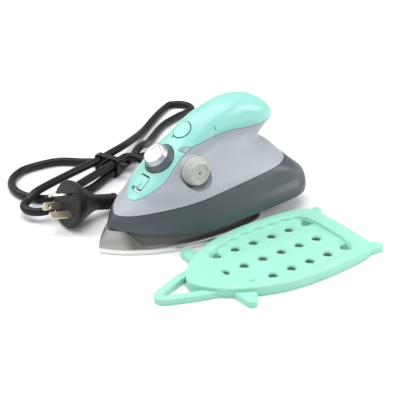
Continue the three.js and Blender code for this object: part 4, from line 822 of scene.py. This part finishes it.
# %% Small openings: the button's notch, the lens and a short seam on each flank of the handle
notch_angle = math.radians(248)
notch_points = [[radius * math.cos(notch_angle + move), radius * math.sin(notch_angle + move)]
                for radius, move in ((7.9, -0.2), (11.4, 0), (7.9, 0.2))]
button_notch = placed(prism(softened(notch_points, 0.3, closed=True), -1.5, outside, "xy"),
                      button_place)


def lens_form(gap, inner_x):
    """An eye-shaped bar along X: an oval of 8.8 by 2.4 mm whose ends come to soft points. It
    meets the cover at a slant, which draws it out to twice that height."""
    angle = around(64)
    y = (4.4 + gap) * np.cos(angle)
    z = (1.2 + gap) * np.sign(np.sin(angle)) * np.abs(np.sin(angle)) ** 1.25
    return placed(prism(np.stack([y, z], axis=1), inner_x, body_half), lens_place)


flank_seam = [[27.3, 85.2], [27.9, 85.3], [29.1, 80.6], [28.5, 80.5]]
flank_inner_x = 14.9
lens_opening = lens_form(0.3, 10.2)
cut(cover, "UNION", cup, sleeve)
cut(cover, "DIFFERENCE", placed(cup_inside, dial_place),
    placed(rod(sleeve_radius, sleeve_foot - 1, outside, 96), button_place), button_notch,
    placed(flap_opening, flap_place), placed(pin_hole, flap_place), lens_opening,
    prism(flank_seam, flank_inner_x, body_half), prism(flank_seam, -body_half, -flank_inner_x))
print("faces of the cover with its openings:", len(cover.data.polygons))

# %% The pocket of the selector, and the holes of shell and skirt
knob_radius, pocket_radius, shaft_radius = 12, 13.2, 2.3
boss_back_x = 16.0
boss_back = boss_back_x - knob_foot_x
low_boss = cut(mesh_object("low_boss", placed(
    rod(pocket_radius + wall, boss_back, body_half, 128), knob_place)),
    "INTERSECT", outer_form, below_cover)
proud_boss = cut(mesh_object("proud_boss", placed(
    rod(knob_radius, boss_back, -0.3, 96), knob_place)), "INTERSECT", below_cover)
pocket = turned(softened([
    [0, -0.3], [pocket_radius, -0.3], [pocket_radius, 4], [13.7, 8], [13.7, body_half],
    [0, body_half]], 0.8), 128)
neck_hole = rectangle(-5.9, 5.9, -5.9, 5.5)
dial_hole = placed(rod(cup_radius + wall + seam, cup_foot - 0.3, dial_rise, 96), dial_place)
cut(shell, "UNION", low_boss, proud_boss)
cut(shell, "DIFFERENCE", placed(pocket, knob_place),
    placed(rod(shaft_radius, -44, 44, 48), knob_place @ turn(2, 0, (0, 0, knob_foot_x))),
    dial_hole,
    placed(rod(sleeve_radius + wall / 2 + seam, sleeve_foot - 0.3, outside, 96), button_place),
    placed(prism(neck_hole, -9.3, -2.0, "xy"), flap_place), lens_opening)
cut(skirt, "DIFFERENCE", placed(rod(relief_neck + 0.6, -12.4, relief_length), exit_place),
    placed(rod(relief_flange + 0.3, -12.4, -7.5), exit_place))
lens = cut(from_walls("pilot_window", lens_form(0, 10.5)), "DIFFERENCE", dial_hole)
for spare in (cup, sleeve, low_boss, proud_boss, room, walls):
    bpy.data.objects.remove(spare)

# %% The four housing pieces, finished
finish_piece(cover, "base", "mint_plastic", 30, "top_cover")
finish_piece(shell, "base", "grey_plastic", 30, "body_shell")
finish_piece(skirt, "base", "dark_plastic", 30, "skirt")
finish_piece(lens, "base", "lamp_lens", 30, "pilot_lens")

# %% [markdown]
# ## The dial
# The thermostat dial is three mouldings pressed together: a dark flared collar for the fingers, a
# satin plated ring, and a white cap with the heat marks. The marks are pad printed, which leaves
# ink a few hundredths of a millimetre thick, so they are thin raised shapes and not a picture.

# %% Collar, ring and cap
collar = turned(softened([
    [0, -1.3], [spindle_hole, -1.3], [spindle_hole, -dial_sink], [12.6, -dial_sink],
    [dial_radius, -2.0], [dial_radius, -0.3], [12.5, 0.6], [11.9, 1.6], [11.1, 2.8], [10.5, 4.0],
    [0, 4.0]], 0.5), 128)
ring = turned(softened([
    [8.5, 4.0], [10.5, 4.0], [10.1, 5.0], [9.3, 7.0], [9.0, 7.4], [8.75, 7.4], [8.5, 7.1]],
    0.25, closed=True), 128, ring=True)
cap = turned(softened([
    [0, 4.2], [8.3, 4.2], [8.3, 7.3], [7.9, 7.75], [6.6, 7.85], [0, 7.85]], 0.5), 128)
for name, shape, slot, node, material in (
        ("dial_flared_collar", collar, "dark_plastic", "dial_collar", collar_plastic),
        ("dial_plated_ring", ring, "bright_trim", "dial_ring", None),
        ("dial_white_cap", cap, "white_plastic", "dial_cap", None)):
    finish_piece(mesh_object(name, placed(shape, dial_place)), "dial", slot, 40, node,
                 material=material)

# %% The printed marks
ink_low, ink_top = 7.8, 7.93


def printed_dash(middle, half_sweep, outer, steps):
    """A flat band on the cap between two radii, over a sweep to both sides of an angle."""
    angle = np.radians(np.linspace(middle - half_sweep, middle + half_sweep, steps + 1))
    ray = np.stack([np.cos(angle), np.sin(angle)], axis=1)
    return prism(np.vstack([outer * ray, 5.9 * ray[::-1]]), ink_low, ink_top, "xy")


heat_arc = together(*(printed_dash(a, 3.6, 7.0, 6) for a in range(40, 161, 12)))
dashes = [printed_dash(a, 3, 6.9, 4) for a in (16, 190, 206, 238, 254, 290, 306)]
dots = [placed(rod(0.45, ink_low, ink_top, 24), turn(2, 0, (
    4.6 * math.cos(a), 4.6 * math.sin(a), 0))) for a in np.radians([60, 105, 112, 143, 150, 157])]
for name, shape, ink in (
        ("dial_heat_arc", heat_arc, ("orange_print_ink", "#e07a3c", "#d66f33")),
        ("dial_marks", together(*dashes, *dots), ("grey_print_ink", "#7d8488", "#72797d"))):
    finish_piece(mesh_object(name, placed(shape, dial_place)), "dial", "white_plastic", 32,
                 material=moulded_plastic(*ink, (0.45, 0.55), 0.6, 0.005))

# %% [markdown]
# ## Button, flap and filler neck
# The top of the steam button and the leaf of the filler flap are cut from the same outer form as
# the cover and then lifted a little. That is how a moulder makes parts whose surfaces flow into one
# another. The flap turns on a steel pin in a barrel at its upper end.

# %% Steam button
button = mesh_object("steam_button_cap", shifted(outer_form, button_proud * button_place[:3, 2]))
cap_foot, stem_radius, stem_foot = -3, 2, -9
cut(button, "INTERSECT", placed(rod(button_radius, cap_foot, outside, 96), button_place))
cut(button, "UNION", placed(rod(stem_radius, stem_foot, cap_foot + 0.3, 32), button_place))
finish_piece(button, "button", "mint_plastic", 30, "steam_button")

# %% Filler flap: leaf, barrel on the pin, rib across and a small grip at the low end
leaf_low = 2.6 - flap_half
leaf = mesh_object("filler_lid", shifted(outer_form, 0.5 * flap_place[:3, 2]))
leaf_outline = softened(rectangle(-flap_half, flap_half, leaf_low, pin_y), 2.0, 6, closed=True)
cut(leaf, "INTERSECT", placed(prism(leaf_outline, -2, 2, "xy"), flap_place))
on_pin = flap_place @ turn(1, 90, (0, pin_y, -barrel))
rib = flap_place @ turn(0, -90, (0, leaf_low, -1.9))
grip = flap_place @ turn(1, 90, (0, leaf_low - 0.4, 1.9))
cut(leaf, "UNION", placed(rod(barrel, -flap_half, flap_half, 40, 0.2), on_pin),
    placed(rod(3.4, 0.0, pin_y - leaf_low - 3.4, 48, 1.2), rib))
cut(leaf, "DIFFERENCE", placed(rod(pin_radius, -2 * flap_half, 2 * flap_half, 24), on_pin),
    placed(rod(0.9, -2.6, 2.6, 32, 0.4), grip))
finish_piece(leaf, "flap", "mint_plastic", 30, "filler_flap")

# %% Filler neck
neck_outline = softened(rectangle(-5.6, 5.6, -5.6, 5.2), 1.0, 5, closed=True)
neck = mesh_object("filler_throat", placed(prism(neck_outline, -9, -2.3, "xy"), flap_place))
cut(neck, "INTERSECT", shifted(outer_form, -0.2 * flap_place[:3, 2]))
funnel = turned([[0, -10], [3.2, -10], [3.2, -4.5], [3.6, -3.6], [4.5, -2.3], [4.5, 0],
                 [0, 0]], 64)
cut(neck, "DIFFERENCE", placed(funnel, flap_place))
finish_piece(neck, "base", "white_plastic", 40, "filler_neck")

# %% [markdown]
# ## The ribbed selector knob
# A knob like this has fine ribs so that damp fingers can turn it. Its side is a turned profile
# whose radius dips in a soft wave round the edge. The wave fades out at the foot and at the face,
# so the ribs run into smooth surfaces, as they do when the tool is eroded with a round electrode.

# %% The knob
ribs, rib_depth, rib_low, rib_high, face_radius = 36, 0.35, 1.0, 8.4, 9


def rib_dip(radius, height, angle):
    """The grooves between the ribs: depth f(z) max(0, cos n a)^4, where f rises from 0 to 1 over
    1.2 mm above the low end and falls to 0 over 0.8 mm below the high end. Inside the radius of
    the face they fade out as well."""
    fade = np.clip((height - rib_low) / 1.2, 0, 1) * np.clip((rib_high - height) / 0.8, 0, 1)
    side = np.clip((radius - face_radius) / 0.6, 0, 1)
    return rib_depth * fade * np.maximum(np.cos(ribs * angle), 0) ** 4 * side


knob_side = [[knob_radius, z] for z in np.linspace(0.3, 1.4, 5)]
knob_side += [[knob_radius - 0.3 * (z - 1.4) - 0.002 * (z - 1.4) ** 3, z]
              for z in np.linspace(1.8, 7.2, 13)]
knob_profile = np.vstack([
    softened([[0, 0], [knob_radius - 0.3, 0], [knob_radius, 0.3]], 0.2), knob_side,
    softened([[9.9, 7.4], [9.5, 8.5], [8.7, 9.1], [7.8, 9.3], [7.1, 8.9], [6.7, 8.45],
              [5.3, 8.3], [4.9, 8.1], [4.4, 8.1], [4.0, 8.3], [1.9, 8.1], [1.1, 7.9],
              [1.0, 6.0], [0, 6.0]], 0.35)])
knob = mesh_object("steam_selector", placed(turned(knob_profile, 384, dip=rib_dip), knob_place))
cut(knob, "DIFFERENCE", placed(rod(shaft_radius, -1, 4.7, 48), knob_place))
finish_piece(knob, "selector", "milky_plastic", 40, "selector_knob")

# %% [markdown]
# ## The soleplate
# The sole is a die casting. Its rim is polished together with the face, and a cove runs round it
# above the rim, so cloth and buttons slide under the edge. A boss fills the cove at the nose.
# Inside are the steam chamber, the groove for the element and three posts that carry the heat
# shield.

# %% Outlines of the sole
sole_length, sole_half, casting_top = 146.0, 44.0, 18.0


def sole_half_width(share):
    """Up to 0.7 of the length, (1 - b^2.3)^(1/1.25), with b falling from 1 at the tip to 0; from
    there on (1 - t^3.4)^(1/2.2), with t rising from 0 to 1 at the rear."""
    bow, stern = 1 - np.clip(share / 0.7, 0, 1), np.clip((share - 0.7) / 0.3, 0, 1)
    return sole_half * np.where(share < 0.7, (1 - bow ** 2.3) ** (1 / 1.25),
                                (1 - stern ** 3.4) ** (1 / 2.2))


def sole_place(share, inset, setback):
    """Half width and Y at a share of the outline made narrower by an inset, with its tip set
    back."""
    return (sole_half_width(share) * (1 - inset / sole_half),
            setback - sole_length / 2 + share * (sole_length - setback - inset))


def sole_stack(rows):
    """A block of the sole's outlines, from rows of height, inset and setback."""
    return grid_shape(np.stack([both_sides(*sole_place(spread(90), inset, setback), height)
                                for height, inset, setback in rows]))


# %% The casting with its boss, groove and posts
sole_rows = smooth_line(np.array([
    [0.0, 0.9, 0.7], [0.25, 0.35, 0.2], [0.9, 0.0, 0.0], [2.4, 0.02, 0.02], [4.0, 0.25, 0.3],
    [4.7, 0.9, 0.6], [5.4, 1.9, 0.8], [6.3, 4.2, 1.1], [7.6, 6.1, 1.4], [9.4, 7.2, 2.1],
    [11.0, 8.0, 3.0], [14.9, 9.6, 6.6], [casting_top, 10.8, 11.0]]), 0.35)
sole_rows[:, 0] = np.clip(sole_rows[:, 0], 0, casting_top)
boss = mesh_object("boss", sole_stack([
    (4, 0.6, 0.4), (6, 1.0, 0.8), (9, 1.7, 2.0), (12.4, 2.6, 3.8), (15.4, 3.8, 5.8),
    (17.6, 5.0, 7.8)]))
cut(boss, "INTERSECT", prism([[-80, 0], [-40, 0], [-57, 18.5], [-80, 18.5]], -45, 45))
sole = cut(mesh_object("cast_sole", sole_stack(sole_rows)), "UNION", boss)
bpy.data.objects.remove(boss)
element_x, element_y, groove_half = 22.5, 53.0, 4.1
element_half = [(element_x, element_y + 3.3), (element_x + 3.3, element_y - 9.9)]
element_half += [(float(sole_half_width(share)) - 16, (share - 0.5) * sole_length)
                 for share in (0.7, 0.55, 0.4, 0.28, 0.19)]
element_plan = element_half + [(0, (0.12 - 0.5) * sole_length)]
element_plan += [(-x, y) for x, y in element_half[::-1]]
groove = carried(np.insert(smooth_line(element_plan, 2.0), 2, 14.4, axis=1),
                 rectangle(groove_half, -groove_half, -groove_half, 6))
chamber_inset, chamber_setback = 22.5, 38
chamber = sole_stack([(z, chamber_inset, chamber_setback) for z in (6, 19)])
cut(sole, "DIFFERENCE", chamber, groove)
print("points along the element's groove:", len(element_plan))
post_radius, post_top, screw_radius, screw_foot = 3.5, 23.7, 2.1, 17.1
for x, y in ((0, -0.288), (-0.227, 0.384), (0.227, 0.384)):
    at_post = turn(2, 0, (x * sole_half, y * sole_length, 0))
    cut(sole, "UNION", placed(rod(post_radius, casting_top - 1, post_top, 40), at_post))
    cut(sole, "DIFFERENCE", placed(rod(screw_radius, screw_foot, 24, 32), at_post))

# %% Steam holes, each with a small countersink, and the finished sole
steam_hole = turned([[0, -1], [2.2, -1], [2.2, 0], [1.5, 0.7], [1.5, 7], [0, 7]], 32)
for share in (0.22, 0.34, 0.46, 0.58, 0.7, 0.82):
    x = sole_place(share, chamber_inset + 4, chamber_setback)[0]
    y = sole_place(share, chamber_inset, chamber_setback)[1]
    for side in (-1, 1):
        cut(sole, "DIFFERENCE", placed(steam_hole, turn(2, 0, (side * x, y, 0))))
finish_piece(sole, "base", "cast_aluminium", 34, "soleplate")

# %% [markdown]
# ## The silicone rest
# The rest is cast silicone, shaped like a fish: a tray in the outline of the sole, with a well that
# keeps the hot face off the table, three rows of holes, four ears and a hanging loop. Silicone is
# poured into an open tool, so every edge is rounded and each hole lies in a shallow dimple.

# %% Outline of the rest
rest_length, rest_half, rest_floor = 149.0, 45.0, 5.0
rest_place = turn(2, -2.9, (86, -51.5, 0))
well_front, well_rear, well_rim, scallops = 28, rest_length - 14, 10, 8


def rest_half_width(share):
    """A bow up to 0.617 of the length, (1 - b^2.2)^(1/1.55), then nearly straight sides that close
    with (1 - t^14)^(1/4)."""
    bow, stern = 1 - np.clip(share / 0.617, 0, 1), np.clip((share - 0.617) / 0.383, 0, 1)
    return rest_half * np.where(share < 0.617, (1 - bow ** 2.2) ** (1 / 1.55),
                                (1 - 0.12 * stern ** 2) * (1 - stern ** 14) ** 0.25)


def well_half_width(share):
    """The rest's half width less its rim, closed at both ends, with a ripple of eight scallops."""
    place = (well_front + share * (well_rear - well_front)) / rest_length
    ends = (1 - np.abs(2 * share - 1) ** 16) ** (1 / 3)
    ripple = 0.9 * np.cos(2 * math.pi * scallops * share)
    return np.maximum(rest_half_width(place) - well_rim - ripple, 0) * ends


def rest_stack(width_at, front, rear, rows):
    """A block of outlines, from rows of height and growth all round."""
    share = spread(110)
    width = width_at(share)
    return grid_shape(np.stack([
        both_sides(width * (1 + grow / max(width.max(), 1)),
                   front - grow + share * (rear - front + 2 * grow), height)
        for height, grow in rows]))


rest = mesh_object("silicone_iron_rest", rest_stack(rest_half_width, 0, rest_length, [
    (0, -0.9), (0.25, -0.4), (0.9, 0), (7.0, 0), (7.55, -0.25), (7.9, -0.75), (8, -1.4)]))

# %% Ears and loop
ear_height, ear_root, ear_tip, ear_reach = 5, 10.5, 3.4, 5.5


def soft_slab(outline, height):
    """A flat outline with soft corners. Towards its foot and its top it is drawn in to its middle:
    each point p becomes m + (p - m) (1 - inset / size)."""
    outline = softened(outline, 4.0, 6, closed=True)
    middle = outline.mean(axis=0)
    size = np.linalg.norm(outline - middle, axis=1).max()
    rows = [(0.02, 0.7), (0.4, 0), (height - 1.2, 0), (height - 0.4, 0.4), (height, 1.4)]
    return grid_shape(np.stack([
        np.insert(middle + (outline - middle) * (1 - inset / size), 2, z, axis=1)
        for z, inset in rows]))


for ear in (((0.88, 0.178), (0.477, 0.208)), ((0.78, 1.02), (0.624, 0.9))):
    for side in (-1, 1):
        end, root = np.array(ear) * [side * rest_half, rest_length]
        ahead = (end - root) / np.linalg.norm(end - root)
        aside = np.array([-ahead[1], ahead[0]])
        tip = end + ear_reach * ahead
        cut(rest, "UNION", soft_slab([
            root - ear_root * aside, root + ear_root * aside,
            tip + ear_tip * aside, tip - ear_tip * aside], ear_height))
loop_half_width, loop_foot, loop_soft = 3.3, 0.02, 0.9
loop_side = [(17.5, 20.0), (14.5, 5.0), (7.5, -14.5), (3.4, -23.5)]
loop_line = loop_side + [(0, -25.5)] + [(-x, y) for x, y in loop_side[::-1]]
loop_section = softened(rectangle(loop_half_width, -loop_half_width, loop_foot, ear_height),
                        loop_soft, 5, closed=True)
cut(rest, "UNION", carried(np.insert(smooth_line(loop_line, 1.0), 2, 0.0, axis=1), loop_section))

# %% Well, hollow underside and holes
cut(rest, "DIFFERENCE", *(rest_stack(well_half_width, well_front, well_rear, rows) for rows in (
    [(rest_floor, -1.8), (5.1, -1.0), (5.4, -0.4), (5.9, 0), (6.9, 0), (7.5, 0.4), (8.02, 1.3),
     (9, 3.4)],
    [(-1, -3), (2.0, -3), (2.4, -3.4)])))
dimpled_hole = turned([
    [0, -1], [3.5, -1], [3.5, 3.3], [3.7, 3.8], [4.3, 4.3], [5.3, 4.7], [6.6, 4.92],
    [8.0, rest_floor], [8.0, 5.2], [0, 5.2]], 48)
row_apart, hole_apart, first_hole = 23.2, 17.75, 41.3
for row in (-1, 0, 1):
    for number in range(6):
        y = first_hole + (number - (0.5 if row == 0 else 0)) * hole_apart
        cut(rest, "DIFFERENCE", placed(dimpled_hole, turn(2, 0, (row * row_apart, y, 0))))
rest_place[:3, 3] *= MM  # the mesh is in metres by now
rest.data.transform(Matrix(rest_place.tolist()))
finish_piece(rest, "rest", "mint_silicone", 38, "silicone_rest")

# %% [markdown]
# ## Table, light and background
# The photograph has a white background and very soft shadows, which is what large soft boxes round
# a white table give: one above, one on the left, one behind on the right, and a weak one in front.
# The floor is nearly white. A camera ray that passes beyond it sees pure white, while the light
# that reaches the object from the world is a softer grey.

# %% Floor, lights and world
floor = mesh_object("floor", prism(rectangle(-3000, 3000, -3000, 3000), -20, -0.05, "xy"))
white_table, floor_shader, place = new_material("white_table", Roughness=0.65)
floor_noise = add(white_table, "TexNoise", {"Vector": place, "Scale": per_size(300)})
floor_tone = add(white_table, "ValToRGB", {"Fac": floor_noise})
for stop, code in zip(floor_tone.color_ramp.elements, ("#f4f4f4", "#fafafa")):
    stop.color = linear(code)
fill(white_table, floor_shader, {"Base Color": floor_tone})
floor.data.materials.append(white_table)

for name, box_place, target, size, power in (
        ("key_box", (-0.75, -0.35, 0.95), (-0.02, 0.02, 0.03), 0.9, 7.8),
        ("front_box", (0.35, -1.05, 0.6), (0.0, 0.0, 0.03), 0.7, 1.3),
        ("side_box", (0.75, 0.95, 0.55), (0.0, 0.06, 0.03), 0.6, 7.0),
        ("top_box", (0.0, 0.1, 1.3), (0.0, 0.0, 0.0), 1.0, 10.0)):
    box = bpy.data.lights.new(name, "AREA")
    box.size, box.energy = size, power
    aim(bpy.data.objects.new(name, box), box_place, target)

world = bpy.data.worlds.new("studio")
world.use_nodes = True
bpy.context.scene.world = world
grey_sky = world.node_tree.nodes["Background"]
fill(world, grey_sky, {"Color": (0.9, 0.94, 1.0, 1.0), "Strength": 0.58})
white_sky = add(world, "Background", {"Color": (1.0, 1.0, 1.0, 1.0)})
seen = add(world, "LightPath").outputs["Is Camera Ray"]
sky = add(world, "MixShader", {0: seen, 1: grey_sky, 2: white_sky})
fill(world, world.node_tree.nodes["World Output"], {0: sky})
bpy.context.scene.view_settings.view_transform = "Standard"
print("lights:", [light.name for light in bpy.data.lights])
